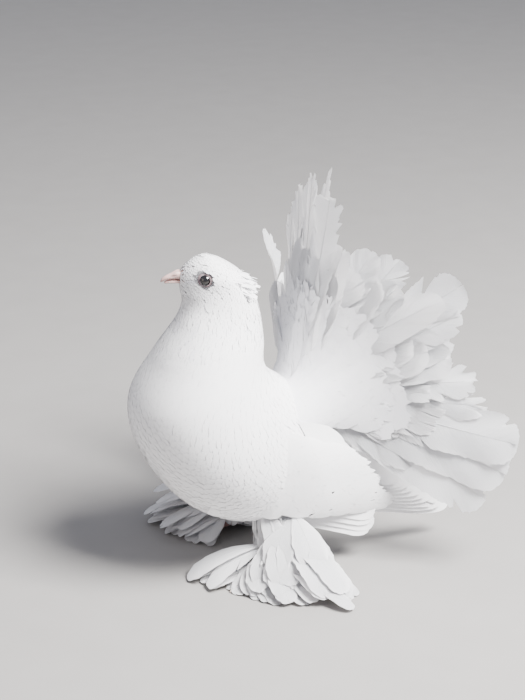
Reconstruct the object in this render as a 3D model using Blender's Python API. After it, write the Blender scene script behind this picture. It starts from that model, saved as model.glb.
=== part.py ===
"""Fantail pigeon, life size: a white bird standing on both feet, with its tail spread.

The bird heads along -X, its left side faces -Y, and the floor is Z = 0. The flesh is one loft
of rings, each set by a point of the back line, a point of the breast line and a half width,
and thin cuts part it into torso, neck and head. Feathers are thin tapered vanes in tiers.
"""

import math

import bmesh
import bpy
import numpy as np
from mathutils import Matrix, Vector

MM = 0.001
GAP = 0.3
LEFT = -1
RIGHT = 1
SIDES = {"left": LEFT, "right": RIGHT}

# Key stations of the flesh, in mm: back x, back z, front x, front z, half width.
STATIONS = {
    "rump_end": (60, 88, 66, 70, 8),
    "rump": (53, 101, 60, 52, 18),
    "vent": (41, 113, 36, 38, 31),
    "belly": (22, 126, -8, 33, 47),
    "keel": (12, 133, -46, 50, 54),
    "breast": (7, 140, -72, 84, 52),
    "crop": (5, 149, -80, 118, 46),
    "neck_base": (6, 160, -64, 150, 35),
    "neck": (5, 174, -48, 173, 25),
    "throat": (2, 187, -43, 186, 19.5),
    "cheek": (-2, 197, -44.5, 196, 16.5),
    "brow": (-9, 205, -44.5, 204.5, 15),
    "crown": (-19, 211.5, -40, 210.5, 11),
    "apex": (-27, 215, -34, 214.6, 4),
}
NECK_BOTTOM = "neck_base"
HEAD_BOTTOM = "throat"
# First station, last station and number of rings.
PARTS = {
    "torso": ("rump_end", NECK_BOTTOM, 15),
    "neck": (NECK_BOTTOM, HEAD_BOTTOM, 6),
    "head": (HEAD_BOTTOM, "apex", 12),
}
RING_SIDES = 24
BREAST_BREADTH = 0.10
HEAD_BREADTH = -0.18
HEAD_YAW = math.radians(-18)
YAW_AXIS_X = -10

# The tail fan: its root, its middle line and the lie of its feathers.
TAIL_ROOT = Vector((33, 0, 120))
TAIL_LEAN = math.radians(9.0)
TAIL_SPACING = 8.0
TAIL_FIRST = 4.2
TAIL_TILT = 0.18
# How far back each half of the fan sweeps, in degrees, by bearing from the middle line.
TAIL_SWEEP = {
    LEFT: ((0, 4), (8, 21), (20, 39), (40, 51), (60, 55), (120, 57)),
    RIGHT: ((0, 4), (10, 8), (72, 8), (86, 38), (110, 45)),
}
TAIL_LENGTHS = {
    LEFT: (135, 106, 111, 116, 103, 121, 137, 125, 111, 107, 121, 129, 156, 154, 150),
    RIGHT: (148, 141, 140, 138, 137, 135, 62, 62, 152, 120, 122, 126),
}
TAIL_WIDTH = 27
TAIL_BOSS = Vector((14, 15, 15))
# Tail coverts in front of the fan, by tier: share of the feather's length, width, how far in front.
TAIL_COVERTS = ((0.55, 24, 4.0), (0.34, 20, 7.0))
TAIL_NOTCHES = (-0.07, 0.06, -0.04)
TAIL_QUILL_START = 9
TAIL_ROOT_SHARE = 0.7
TAIL_BOW = 0.01
TAIL_CAMBER = 0.02
TAIL_STEPS = 4
TAIL_BOSS_SHIFT = Vector((2, 0, -2))
TAIL_COVERT_NOTCH = -0.1
TAIL_COVERT_VARIATION = 0.06
FAN_RADIUS = 145
BLOCK = 400
VANE = 0.55

WING_SHEET_HALF = 53
WING_SHEET_TAPER = 0.24
WING_SHEET_BULGE = 0.0035
WING_SHEET_WIDEST_Z = 75
WING_BOW = 0.01
WING_CAMBER = 0.02
WING_TILT = 0.13
WING_ROOT_DEPTH = 2.5
SHOULDER = (6, 84, -7)
SHOULDER_RADII = (36, 9, 34)
# How much higher the far wing's tips are carried.
WING_LIFT = {LEFT: 0, RIGHT: 17}
# Tiers of a folded wing: roots and tips, each from the lowest feather to the highest as x and z,
# then count, width, height over the sheet, notch of the tips and steps along a feather.
WING_TIERS = (
    (((4, 58), (26, 88)), ((141, 21), (98, 54)), 5, 20, -1.6, -0.05, 3),
    (((-6, 54), (2, 62)), ((75, 21), (79, 32)), 2, 16, 1.0, 0.0, 3),
    (((2, 66), (20, 110)), ((88, 40), (50, 80)), 5, 21, 3.4, -0.05, 3),
    (((-14, 72), (2, 108)), ((50, 46), (30, 92)), 4, 21, 6.0, -0.05, 2),
)

EYE_RADIUS = 3.9
EYE_X = -29
EYE_Z = 204.3
EYE_DEPTH = 2.3
LID_RADIUS = 3.7
LID_THICKNESS = 0.75
LID_RISE = 1.9

# The crest, in the head's own plane: rows down the back of the head,
# as root x, root z, slope, length and count.
CREST_ROWS = (
    (-17, 207, -0.22, 20, 4),
    (-12, 202.5, -0.30, 18.5, 5),
    (-9, 197.5, -0.40, 15.5, 5),
    (-7, 193.5, -0.34, 10.5, 4),
)
CREST_HALF_WIDTH = 10
CREST_SPREAD = 0.8
CREST_BEND = 1.5
CREST_DROP = 2
CREST_FLARE = 0.25
CREST_TILT = 0.5
CREST_SHORTENING = 0.12
CREST_STAGGER = 0.06
CREST_BOW = 0.03
CREST_CAMBER = 0.1
POINTED_NOTCH = -0.12
CREST_VANE = 8

# Rings of the bill from root to point: x, z, half width and half height, in the head's own plane.
BILL_UPPER = (
    (-40, 203.8, 4.6, 3.0),
    (-46, 203.7, 3.9, 2.5),
    (-50, 203.1, 3.1, 2.0),
    (-54, 202.0, 2.3, 1.7),
    (-57, 200.4, 1.4, 1.3),
    (-58.2, 199.2, 0.5, 0.5),
)
BILL_LOWER = (
    (-40, 199.3, 4.0, 1.5),
    (-46, 199.5, 3.4, 1.3),
    (-50, 199.4, 2.7, 1.2),
    (-53.5, 199.0, 1.8, 1.0),
    (-55.8, 198.5, 0.7, 0.6),
)
CERE = (-47.5, 1.7, 205.5)
CERE_RADII = (3.6, 2.1, 1.5)
NOSTRIL = (-50.0, 3.3, 204.2)
NOSTRIL_RADII = (1.9, 0.9, 0.4)

HIP = Vector((2, 20, 60))
FOOT = {LEFT: Vector((-8, -34, 0)), RIGHT: Vector((-8, 42, 0))}
HEEL = {LEFT: Vector((8, -33, 30)), RIGHT: Vector((6, 38, 30))}
TOES = ((180, 27), (148, 22), (212, 21), (8, 15))
TOE_RADIUS = 2.5
TOE_TAPER = 0.75
TOE_SIDES = 8
THIGH_RADII = (14, 10.5, 5)
SHANK_RADII = (4.2, 3.4, 3.2)
THIGH_OVERLAP = 2
SHANK_END = 2.6
MUFF_ROOT_OUT = 0.5
MUFF_STAGGER = 0.5
MUFF_BOW = 0.07
MUFF_CAMBER = 0.05
CLAW_REST = 0.15
CLAW_SIDES = 6
CLAW_LENGTH = 6
CLAW_RADII = (1.35, 1.1, 0.75, 0.3)

# Tiers of a leg's muff: height of the roots, share of the reach, height of the tips, width,
# first and last bearing, and count.
MUFF_TIERS = {
    LEFT: ((27, 0.72, 13, 18, -5, 85, 4), (17, 0.88, 5.0, 17, -20, 130, 6), (7, 1.0, 1.3, 15, -28, 198, 10)),
    RIGHT: ((27, 0.98, 19, 18, -5, 150, 5), (17, 0.95, 6.0, 17, -20, 165, 7), (7, 0.9, 1.3, 15, -20, 190, 8)),
}
# How far the muff's feathers reach at each bearing from straight back, outwards.
MUFF_REACH = {
    LEFT: ((-28, 28), (10, 46), (30, 64), (47, 85), (58, 80), (72, 56), (95, 40), (150, 26), (198, 50)),
    RIGHT: ((-20, 30), (10, 46), (30, 60), (47, 64), (62, 54), (85, 42), (115, 46), (142, 64), (190, 36)),
}

COLOURS = {
    "plumage": ((0.86, 0.85, 0.86), 0.75),
    "bill": ((0.66, 0.45, 0.42), 0.45),
    "eye": ((0.035, 0.014, 0.010), 0.08),
    "claw": ((0.72, 0.62, 0.55), 0.45),
}


def clear_scene():
    """Removes every object that the scene holds."""
    for obj in list(bpy.data.objects):
        bpy.data.objects.remove(obj, do_unlink=True)


def material(name):
    """Returns the Principled material of that finish, made on first use."""
    found = bpy.data.materials.get(name)
    if found:
        return found
    made = bpy.data.materials.new(name)
    made.use_nodes = True
    shader = made.node_tree.nodes["Principled BSDF"]
    colour, roughness = COLOURS[name]
    shader.inputs["Base Color"].default_value = (*colour, 1)
    shader.inputs["Roughness"].default_value = roughness
    return made


def mesh_object(name, points, faces):
    """Makes an object from points in mm, with its faces turned outwards."""
    mesh = bpy.data.meshes.new(name)
    mesh.from_pydata([tuple(Vector(point) * MM) for point in points], [], faces)
    bm = bmesh.new()
    bm.from_mesh(mesh)
    bmesh.ops.recalc_face_normals(bm, faces=bm.faces)
    bm.to_mesh(mesh)
    bm.free()
    obj = bpy.data.objects.new(name, mesh)
    bpy.context.scene.collection.objects.link(obj)
    return obj


def loft(name, rings):
    """Closes equal rings of points, in order, into one triangulated body."""
    count = len(rings[0])
    points = [point for ring in rings for point in ring]
    faces = []
    for level in range(len(rings) - 1):
        low = level * count
        for i in range(count):
            j = (i + 1) % count
            faces.append((low + i, low + j, low + count + j))
            faces.append((low + i, low + count + j, low + count + i))
    last = (len(rings) - 1) * count
    for i in range(1, count - 1):
        faces.append((0, i + 1, i))
        faces.append((last, last + i, last + i + 1))
    return mesh_object(name, points, faces)


def ellipsoid(name, centre, radii, segments=12, rings=8):
    """Makes an ellipsoid with its axes along X, Y and Z."""
    bm = bmesh.new()
    bmesh.ops.create_uvsphere(bm, u_segments=segments, v_segments=rings, radius=1)
    bmesh.ops.triangulate(bm, faces=bm.faces)
    points = [[c + v * r for c, v, r in zip(centre, vert.co, radii)] for vert in bm.verts]
    faces = [[vert.index for vert in face.verts] for face in bm.faces]
    bm.free()
    return mesh_object(name, points, faces)


def torus(name, centre, normal, major, minor, segments=12, sides=5):
    """Makes a ring of round section about the normal."""
    turn = Vector((0, 0, 1)).rotation_difference(Vector(normal))
    rings = []
    for k in range(segments):
        around = 2 * math.pi * k / segments
        out = Vector((math.cos(around), math.sin(around), 0))
        section = [2 * math.pi * s / sides for s in range(sides)]
        offsets = [out * (major + minor * math.cos(a)) + Vector((0, 0, minor * math.sin(a))) for a in section]
        rings.append([Vector(centre) + turn @ offset for offset in offsets])
    points = [point for ring in rings for point in ring]
    faces = []
    for k in range(segments):
        here, there = k * sides, (k + 1) % segments * sides
        for s in range(sides):
            t = (s + 1) % sides
            faces.append((here + s, here + t, there + t))
            faces.append((here + s, there + t, there + s))
    return mesh_object(name, points, faces)


def tube(name, path, radii, sides=8):
    """Sweeps a regular polygon, flat side down, along a path of points in mm."""
    rings = []
    for k, point in enumerate(path):
        ahead = path[min(k + 1, len(path) - 1)] - path[max(k - 1, 0)]
        ahead.normalize()
        across = ahead.cross(Vector((0, 0, 1)))
        across = across.normalized() if across.length > 0.05 else Vector((0, 1, 0))
        upward = across.cross(ahead)
        turns = [math.pi * (2 * s + 1) / sides for s in range(sides)]
        rings.append([point + (across * math.sin(a) + upward * math.cos(a)) * radii[k] for a in turns])
    return loft(name, rings)


def profile(t, root=0.12, widest=0.45, tip=0.5):
    """Relative width of a vane at t, from its quill at 0 to its tip at 1."""
    if t < widest:
        return root + (1 - root) * math.sin(math.pi / 2 * t / widest)
    past = (t - widest) / (1 - widest)
    return 1 - (1 - tip) * past**3


def vane(name, root, tip, normal, width, bow=0.0, camber=0.08, steps=4, notch=0.0, tip_width=0.5):
    """Makes one feather: a thin plate, cambered across, that bows along its length.

    A positive notch draws the middle of the tip back, and a negative one the corners.
    """
    along = tip - root
    side = along.cross(normal).normalized()
    face = side.cross(along).normalized()
    rings = []
    for k in range(steps + 1):
        t = k / steps
        half = width * profile(t, tip=tip_width) / 2
        middle = root + along * t + face * (bow * along.length * 4 * t * (1 - t))
        end = 1 if k == steps else 0
        spine = middle - along * (max(notch, 0) * end)
        edge = middle - along * (max(-notch, 0) * end) - face * (camber * 2 * half)
        left, right = edge - side * half, edge + side * half
        up = face * (VANE / 2 * (1 - 0.4 * t))
        rings.append([left + up, spine + up, right + up, right - up, spine - up, left - up])
    points = [point for ring in rings for point in ring]
    faces = []
    size = len(rings[0])
    for level in range(steps):
        low, high = level * size, (level + 1) * size
        for i, j in ((0, 1), (1, 2), (2, 3), (5, 0)):
            faces.append((low + i, low + j, high + j))
            faces.append((low + i, high + j, high + i))
        for i, j in ((3, 4), (4, 5)):
            faces.append((low + i, low + j, high + i))
            faces.append((low + j, high + j, high + i))
    last = steps * size
    for end in (0, last):
        faces.append((end, end + 1, end + 4))
        faces.append((end, end + 4, end + 5))
        faces.append((end + 1, end + 2, end + 3))
        faces.append((end + 1, end + 3, end + 4))
    return mesh_object(name, points, faces)


def evaluated(obj):
    """Applies the object's modifiers to its mesh."""
    graph = bpy.context.evaluated_depsgraph_get()
    mesh = bpy.data.meshes.new_from_object(obj.evaluated_get(graph))
    obj.modifiers.clear()
    old, obj.data = obj.data, mesh
    bpy.data.meshes.remove(old)


def keep_largest(obj):
    """Deletes all but the closed surface that holds the most."""
    bm = bmesh.new()
    bm.from_mesh(obj.data)
    bmesh.ops.triangulate(bm, faces=bm.faces)
    left = set(bm.faces)
    shells = []
    while left:
        stack = [left.pop()]
        shell = list(stack)
        while stack:
            for edge in stack.pop().edges:
                for face in edge.link_faces:
                    if face in left:
                        left.remove(face)
                        stack.append(face)
                        shell.append(face)
        shells.append(shell)

    def volume(shell):
        corners = [[vert.co for vert in face.verts] for face in shell]
        return abs(sum(a.dot(b.cross(c)) for a, b, c in corners))

    shells.sort(key=volume)
    loose = [face for shell in shells[:-1] for face in shell]
    bmesh.ops.delete(bm, geom=loose, context="FACES")
    bm.to_mesh(obj.data)
    bm.free()


def fuse(name, pieces, finish, cutters=(), solver="EXACT"):
    """Joins closed pieces into one body, cuts it by each cutter, and removes them all."""
    base, *others = pieces
    base.name = name
    if others:
        group = bpy.data.collections.new(name + "_pieces")
        for piece in others:
            group.objects.link(piece)
        join = base.modifiers.new("join", "BOOLEAN")
        join.operation = "UNION"
        join.solver = solver
        join.operand_type = "COLLECTION"
        join.collection = group
        evaluated(base)
        bpy.data.collections.remove(group)
    for cutter in cutters:
        cut = base.modifiers.new("cut", "BOOLEAN")
        cut.operation = "DIFFERENCE"
        cut.solver = solver
        cut.object = cutter
        evaluated(base)
    for piece in [*others, *cutters]:
        bpy.data.objects.remove(piece, do_unlink=True)
    keep_largest(base)
    base.data.materials.clear()
    base.data.materials.append(material(finish))
    return base


def station(place):
    """Back point, front point and half width of the flesh at a place along the key stations."""
    keys = np.array(list(STATIONS.values()), float)
    low = int(min(max(math.floor(place), 0), len(keys) - 2))
    t = place - low
    before, after = keys[max(low - 1, 0)], keys[min(low + 2, len(keys) - 1)]
    start, end = keys[low], keys[low + 1]
    bend = 2 * before - 5 * start + 4 * end - after
    turn = 3 * (start - end) + after - before
    values = start + 0.5 * t * (end - before + t * (bend + t * turn))
    back_x, back_z, front_x, front_z, half = values
    return Vector((back_x, 0, back_z)), Vector((front_x, 0, front_z)), float(half)


def place_of(name):
    """Place of a named key station."""
    return list(STATIONS).index(name)


def yaw(place):
    """The head's turn, which grows along the neck."""
    low, high = place_of(NECK_BOTTOM), place_of(HEAD_BOTTOM)
    share = min(max((place - low) / (high - low), 0), 1)
    return HEAD_YAW * share * share * (3 - 2 * share)


def turned(point, angle):
    """Turns a point about the upright line through YAW_AXIS_X."""
    axis = Vector((YAW_AXIS_X, 0, 0))
    return axis + Matrix.Rotation(angle, 3, "Z") @ (Vector(point) - axis)


def turn_only(direction, angle):
    """Turns a direction about the upright."""
    return Matrix.Rotation(angle, 3, "Z") @ Vector(direction)


def flesh_ring(place, grow=0.0, shift=0.0, sides=RING_SIDES):
    """One ring of the flesh, grown outwards and shifted along the loft by so many mm."""
    back, front, half = station(place)
    centre = (back + front) / 2
    forward = (front - back).normalized()
    depth = (front - back).length / 2 + grow
    normal = Vector((0, 1, 0)).cross(forward)
    ahead = sum(station(place + 0.05)[:2], Vector()) - sum(station(place - 0.05)[:2], Vector())
    normal *= math.copysign(1, normal.dot(ahead))
    head = min(max((place - place_of("neck")) / 3, 0), 1)
    breadth = BREAST_BREADTH + (HEAD_BREADTH - BREAST_BREADTH) * head
    ring = []
    for k in range(sides):
        a = 2 * math.pi * k / sides
        across = (half + grow) * math.sin(a) * (1 + breadth * math.cos(a))
        point = centre + forward * (depth * math.cos(a)) + Vector((0, across, 0)) + normal * shift
        ring.append(turned(point, yaw(place)))
    return ring


def flesh(name, part, start_shift=0.0):
    """One length of the flesh, as one closed body."""
    places = part_places(part)
    shifts = [start_shift] + [0.0] * (len(places) - 1)
    return loft(name, [flesh_ring(place, 0.0, shift) for place, shift in zip(places, shifts)])


def part_places(part):
    """Places of the rings of torso, neck or head."""
    start, end, rings = PARTS[part]
    return [float(place) for place in np.linspace(place_of(start), place_of(end), rings)]


def grown_flesh(name):
    """The whole flesh grown by the gap that its neighbours keep."""
    places = sorted({place for part in PARTS for place in part_places(part)})
    return loft(name, [flesh_ring(place, grow=GAP * 1.3) for place in places])


def eye_centre(side):
    """Centre of an eye, set into the head by EYE_DEPTH."""
    rings = [flesh_ring(p, sides=96) for p in np.linspace(place_of("cheek"), place_of("crown"), 30)]
    points = [turned(p, -HEAD_YAW) for ring in rings for p in ring]
    near = min(points, key=lambda p: (p.x - EYE_X) ** 2 + (p.z - EYE_Z) ** 2 + (0 if p.y * side > 0 else 1e6))
    return turned((EYE_X, near.y - side * EYE_DEPTH, EYE_Z), HEAD_YAW)


def eye_outward(side):
    """Direction in which an eye looks."""
    return turn_only((-0.28, side * 0.95, 0.12), HEAD_YAW).normalized()


def make_torso():
    """Breast, belly, back and rump."""
    return fuse("torso", [flesh("torso", "torso")], "plumage")


def make_neck():
    """Neck, from the crop to the throat."""
    return fuse("neck", [flesh("neck", "neck", start_shift=GAP)], "plumage")


def crest_vanes():
    """The feathers at the back of the head, which end in a short ragged peak over the nape."""
    vanes = []
    for row, (root_x, root_z, slope, length, count) in enumerate(CREST_ROWS):
        for k in range(count):
            across = 2 * k / (count - 1) - 1
            root_y = CREST_HALF_WIDTH * CREST_SPREAD * across
            root = Vector((root_x - CREST_BEND * across**2, root_y, root_z - CREST_DROP * across**2))
            way = Vector((1, CREST_FLARE * across, slope)).normalized()
            tip = root + way * length * (1 - CREST_SHORTENING * across**2 + CREST_STAGGER * (k % 2))
            normal = Vector((-slope, CREST_TILT * across, 1))
            root, tip, normal = (turned(root, HEAD_YAW), turned(tip, HEAD_YAW), turn_only(normal, HEAD_YAW))
            name = f"crest_{row}_{k}"
            vanes.append(vane(name, root, tip, normal, CREST_VANE, CREST_BOW, CREST_CAMBER, 2, POINTED_NOTCH))
    return vanes


def make_head():
    """Head with its crest, the rims of its lids and the sockets of its eyes."""
    body = flesh("head", "head", start_shift=GAP)
    rims = []
    sockets = []
    for side in SIDES.values():
        outward = eye_outward(side)
        centre = eye_centre(side)
        rims.append(torus("rim", centre + outward * LID_RISE, outward, LID_RADIUS, LID_THICKNESS))
        sockets.append(ellipsoid("socket", centre, [EYE_RADIUS + GAP] * 3, 14, 8))
    return fuse("head", [body, *rims, *crest_vanes()], "plumage", sockets)


def make_eye(name, side):
    """An eyeball, seen between the lids."""
    return fuse(name, [ellipsoid(name, eye_centre(side), [EYE_RADIUS] * 3, 14, 8)], "eye")


def bill(name, table, grow=0.0, sides=10):
    """One half of the bill, from its root to its point, grown outwards by so many mm."""
    rings = []
    for x, z, half_width, half_height in table:
        ring = []
        for k in range(sides):
            a = 2 * math.pi * k / sides
            across, rise = (half_width + grow) * math.sin(a), (half_height + grow) * math.cos(a)
            ring.append(turned((x, across, z + rise), HEAD_YAW))
        rings.append(ring)
    return loft(name, rings)


def make_bill():
    """Upper and lower bill, with the cere's two lobes and the nostrils under them."""
    lobes = []
    slits = []
    for side in SIDES.values():
        lobe = turned((CERE[0], side * CERE[1], CERE[2]), HEAD_YAW)
        slit = turned((NOSTRIL[0], side * NOSTRIL[1], NOSTRIL[2]), HEAD_YAW)
        lobes.append(ellipsoid("lobe", lobe, CERE_RADII, 10, 6))
        slits.append(ellipsoid("slit", slit, NOSTRIL_RADII, 10, 6))
    fuse("bill_upper", [bill("bill_upper", BILL_UPPER), *lobes], "bill", [*slits, grown_flesh("clear")])
    clear = [bill("upper_clear", BILL_UPPER, GAP), grown_flesh("clear")]
    fuse("bill_lower", [bill("bill_lower", BILL_LOWER)], "bill", clear)


def fan_way(side, bearing):
    """Direction of a tail feather at a bearing, in degrees, from the fan's middle line."""
    upward = Vector((math.sin(TAIL_LEAN), 0, math.cos(TAIL_LEAN)))
    sweep = math.radians(float(np.interp(bearing, *zip(*TAIL_SWEEP[side]))))
    sideways = Vector((math.sin(sweep), side * math.cos(sweep), 0))
    turn = math.radians(bearing)
    return (upward * math.cos(turn) + sideways * math.sin(turn)).normalized()


def fan_normal(side, bearing):
    """The fan's forward normal at a bearing."""
    run = fan_way(side, bearing + 2) - fan_way(side, max(bearing - 2, 0.1))
    normal = fan_way(side, bearing).cross(run).normalized()
    return -normal if normal.x > 0 else normal


def tail_vane(side, bearing, length, width, forward, steps, notch):
    """A feather of the fan. Its outer edge is tilted forward, over the next feather."""
    way, normal = fan_way(side, bearing), fan_normal(side, bearing)
    outward = fan_way(side, bearing + 2) - fan_way(side, bearing - 2)
    tilted = normal - outward.normalized() * TAIL_TILT
    root = TAIL_ROOT + way * TAIL_QUILL_START + normal * (forward * TAIL_ROOT_SHARE)
    tip = TAIL_ROOT + way * length + normal * forward
    return vane("feather", root, tip, tilted, width, TAIL_BOW, TAIL_CAMBER, steps, notch)


def other_half(side):
    """A block on the far side of the middle plane, clear of it by half the gap."""
    near, far = -side * -GAP / 2, -side * BLOCK
    return loft("block", [
        [Vector((x, y, z)) for x, z in ((-BLOCK, -BLOCK), (BLOCK, -BLOCK), (BLOCK, BLOCK), (-BLOCK, BLOCK))]
        for y in (near, far)
    ])


def make_tail(name, side):
    """One half of the fan: long feathers and two tiers of coverts, fused at a boss round the root."""
    pieces = [ellipsoid("boss", TAIL_ROOT + TAIL_BOSS_SHIFT, TAIL_BOSS, 14, 8)]
    for index, length in enumerate(TAIL_LENGTHS[side]):
        bearing = TAIL_FIRST + TAIL_SPACING * index
        notch = TAIL_NOTCHES[index % len(TAIL_NOTCHES)]
        pieces.append(tail_vane(side, bearing, length, TAIL_WIDTH, 0.0, TAIL_STEPS, notch))
    for tier, (share, width, forward) in enumerate(TAIL_COVERTS):
        for index in range(0, len(TAIL_LENGTHS[side]) - 2, 2):
            bearing = TAIL_FIRST + TAIL_SPACING * (index + 0.5 + 0.5 * tier)
            length = FAN_RADIUS * share * (1 + TAIL_COVERT_VARIATION * (index % 4 - 1.5))
            pieces.append(tail_vane(side, bearing, length, width, forward, 2, TAIL_COVERT_NOTCH))
    return fuse(name, pieces, "plumage", [grown_flesh("clear"), other_half(side)])


def wing_sheet(x, z):
    """How far from the middle plane the folded wing lies, in mm, by its place seen from the side."""
    bulge = WING_SHEET_BULGE * max(z - WING_SHEET_WIDEST_Z, 0) ** 2
    return WING_SHEET_HALF - WING_SHEET_TAPER * max(x, 0) - bulge


def wing_point(side, x, z, layer):
    """A point of the folded wing, so many mm outwards from its sheet."""
    return Vector((x, side * (wing_sheet(x, z) + layer), z))


def wing_normal(side, x, z):
    """Outward normal of the folded wing's sheet."""
    back = wing_point(side, x + 1, z, 0) - wing_point(side, x - 1, z, 0)
    upward = wing_point(side, x, z + 1, 0) - wing_point(side, x, z - 1, 0)
    return upward.cross(back).normalized() * -side


def wing_tier(side, roots, tips, count, width, layer, notch, steps):
    """One tier of wing feathers, from the lowest up, each tilted over the one below it."""
    vanes = []
    for k in range(count):
        share = k / (count - 1)
        root_x, root_z = (a + (b - a) * share for a, b in zip(*roots))
        tip_x, tip_z = (a + (b - a) * share for a, b in zip(*tips))
        tip_z += WING_LIFT[side]
        normal = wing_normal(side, (root_x + tip_x) / 2, (root_z + tip_z) / 2) + Vector((0, 0, WING_TILT))
        root = wing_point(side, root_x, root_z, layer - WING_ROOT_DEPTH)
        tip = wing_point(side, tip_x, tip_z, layer)
        vanes.append(vane("feather", root, tip, normal, width, WING_BOW, WING_CAMBER, steps, notch))
    return vanes


def make_wing(name, side):
    """A folded wing: quills, a blunt lower group, and two tiers over them."""
    pieces = [ellipsoid("shoulder", wing_point(side, *SHOULDER), SHOULDER_RADII, 14, 8)]
    for tier in WING_TIERS:
        pieces += wing_tier(side, *tier)
    return fuse(name, pieces, "plumage", [grown_flesh("clear")])


def level_way(side, bearing):
    """Level direction at a bearing, in degrees, from straight back, outwards on that side."""
    turn = math.radians(bearing)
    return Vector((math.cos(turn), side * math.sin(turn), 0))


def toe_line(side, bearing, length):
    """Start and end of a toe that lies on the floor, and its direction."""
    way = level_way(side, bearing)
    flat = math.cos(math.pi / TOE_SIDES)
    start = FOOT[side] + Vector((0, 0, TOE_RADIUS * flat))
    end = FOOT[side] + way * length + Vector((0, 0, TOE_RADIUS * TOE_TAPER * flat))
    return start, end, way


def muff_vanes(side):
    """The long feathers of one leg, in tiers from the heel down to the toes."""
    vanes = []
    for root_z, share, tip_z, width, first, last, count in MUFF_TIERS[side]:
        for k in range(count):
            bearing = first + (last - first) * k / (count - 1)
            way = level_way(side, bearing)
            foot = FOOT[side].lerp(HEEL[side], root_z / HEEL[side].z)
            root = Vector((foot.x, foot.y, root_z)) + way * MUFF_ROOT_OUT
            reach = float(np.interp(bearing, *zip(*MUFF_REACH[side]))) * share
            tip = Vector((foot.x, foot.y, tip_z + MUFF_STAGGER * (k % 2))) + way * reach
            up = Vector((0, 0, 1))
            vanes.append(vane("feather", root, tip, up, width, MUFF_BOW, MUFF_CAMBER, 2, POINTED_NOTCH))
    return vanes


def make_leg(name, side):
    """Thigh, shank and toes with the muff's feathers."""
    hip = Vector((HIP.x, HIP.y * side, HIP.z))
    heel, foot = HEEL[side], FOOT[side]
    thigh = tube("thigh", [hip, hip.lerp(heel, 0.5), heel - Vector((0, 0, THIGH_OVERLAP))], THIGH_RADII, 10)
    shank = tube("shank", [heel, heel.lerp(foot, 0.5), foot + Vector((0, 0, SHANK_END))], SHANK_RADII, 8)
    pieces = [thigh, shank]
    for bearing, length in TOES:
        start, end, _ = toe_line(side, bearing, length)
        pieces.append(tube("toe", [start, end], (TOE_RADIUS, TOE_RADIUS * TOE_TAPER), TOE_SIDES))
    pieces += muff_vanes(side)
    claws = [claw_body("clear_claw", side, bearing, length, GAP * 1.5) for bearing, length in TOES]
    return fuse(name, pieces, "plumage", [grown_flesh("clear"), *claws])


def claw_body(name, side, bearing, length, grow=0.0):
    """A claw's curved cone, from the end of its toe down to the floor."""
    _, end, way = toe_line(side, bearing, length)
    start = end + way * GAP
    path = []
    for k, radius in enumerate(CLAW_RADII):
        t = k / (len(CLAW_RADII) - 1)
        point = start + way * ((CLAW_LENGTH + grow) * t)
        point.z = start.z + (radius + CLAW_REST - start.z) * t * t
        path.append(point)
    return tube(name, path, [radius + grow for radius in CLAW_RADII], CLAW_SIDES)


def make_claw(name, side, bearing, length):
    """One claw, curved down to the floor from the end of its toe."""
    return fuse(name, [claw_body(name, side, bearing, length)], "claw")


def centre_on_floor():
    """Puts the origin at the bottom centre of all the bodies."""
    corners = [v.co for obj in bpy.data.objects for v in obj.data.vertices]
    low = [min(corner[axis] for corner in corners) for axis in range(3)]
    high = [max(corner[axis] for corner in corners) for axis in range(3)]
    shift = Vector((-(low[0] + high[0]) / 2, -(low[1] + high[1]) / 2, -low[2]))
    for obj in bpy.data.objects:
        obj.data.transform(Matrix.Translation(shift))


def main():
    """Builds every body part in its place."""
    clear_scene()
    make_torso()
    make_neck()
    make_head()
    make_bill()
    for side_name, side in SIDES.items():
        make_eye(f"eye_{side_name}", side)
        make_wing(f"wing_{side_name}", side)
        make_tail(f"tail_{side_name}", side)
        make_leg(f"leg_{side_name}", side)
        for number, (bearing, length) in enumerate(TOES, 1):
            make_claw(f"claw_{side_name}_{number}", side, bearing, length)
    centre_on_floor()


if __name__ == "__main__":
    main()
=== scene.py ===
"""Looks of the fantail pigeon: skin, coat, fan, wings, muffs, head and a plain studio.

Sizes are in millimetres in the bird's own frame, as the solids are: it heads along -X, its left
side faces -Y, and the floor is Z = 0. Frame.metres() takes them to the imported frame.
"""

import functools
import logging
import math
from dataclasses import dataclass, field, replace
from enum import Enum

import bpy
import numpy as np
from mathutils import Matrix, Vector


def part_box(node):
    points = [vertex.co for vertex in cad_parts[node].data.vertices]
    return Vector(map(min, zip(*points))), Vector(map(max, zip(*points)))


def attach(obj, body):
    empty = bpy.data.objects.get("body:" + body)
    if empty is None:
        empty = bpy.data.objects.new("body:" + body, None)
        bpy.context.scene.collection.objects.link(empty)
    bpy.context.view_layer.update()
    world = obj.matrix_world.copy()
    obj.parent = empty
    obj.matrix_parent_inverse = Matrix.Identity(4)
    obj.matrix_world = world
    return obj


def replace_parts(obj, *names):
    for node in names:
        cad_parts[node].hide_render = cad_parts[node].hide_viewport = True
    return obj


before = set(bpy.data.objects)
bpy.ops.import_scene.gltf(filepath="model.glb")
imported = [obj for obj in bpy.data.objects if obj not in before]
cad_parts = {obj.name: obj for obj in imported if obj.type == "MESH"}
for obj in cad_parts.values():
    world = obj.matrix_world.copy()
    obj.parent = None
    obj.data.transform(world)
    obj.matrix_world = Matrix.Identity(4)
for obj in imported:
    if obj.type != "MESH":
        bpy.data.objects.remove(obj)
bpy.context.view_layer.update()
LOG = logging.getLogger("pigeon")
BODY = "root"
MM = 0.001
PATCH = 0.003
Array = np.ndarray


class Side(Enum):
    """Left or right of the bird, as the sign of Y."""

    LEFT = -1
    RIGHT = 1

    @property
    def word(self) -> str:
        """The side's name, as the nodes have it."""
        return self.name.lower()


class Tip(Enum):
    """How a long feather ends."""

    ROUND = 1.0
    BLUNT = 0.6
    POINTED = 1.9


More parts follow.
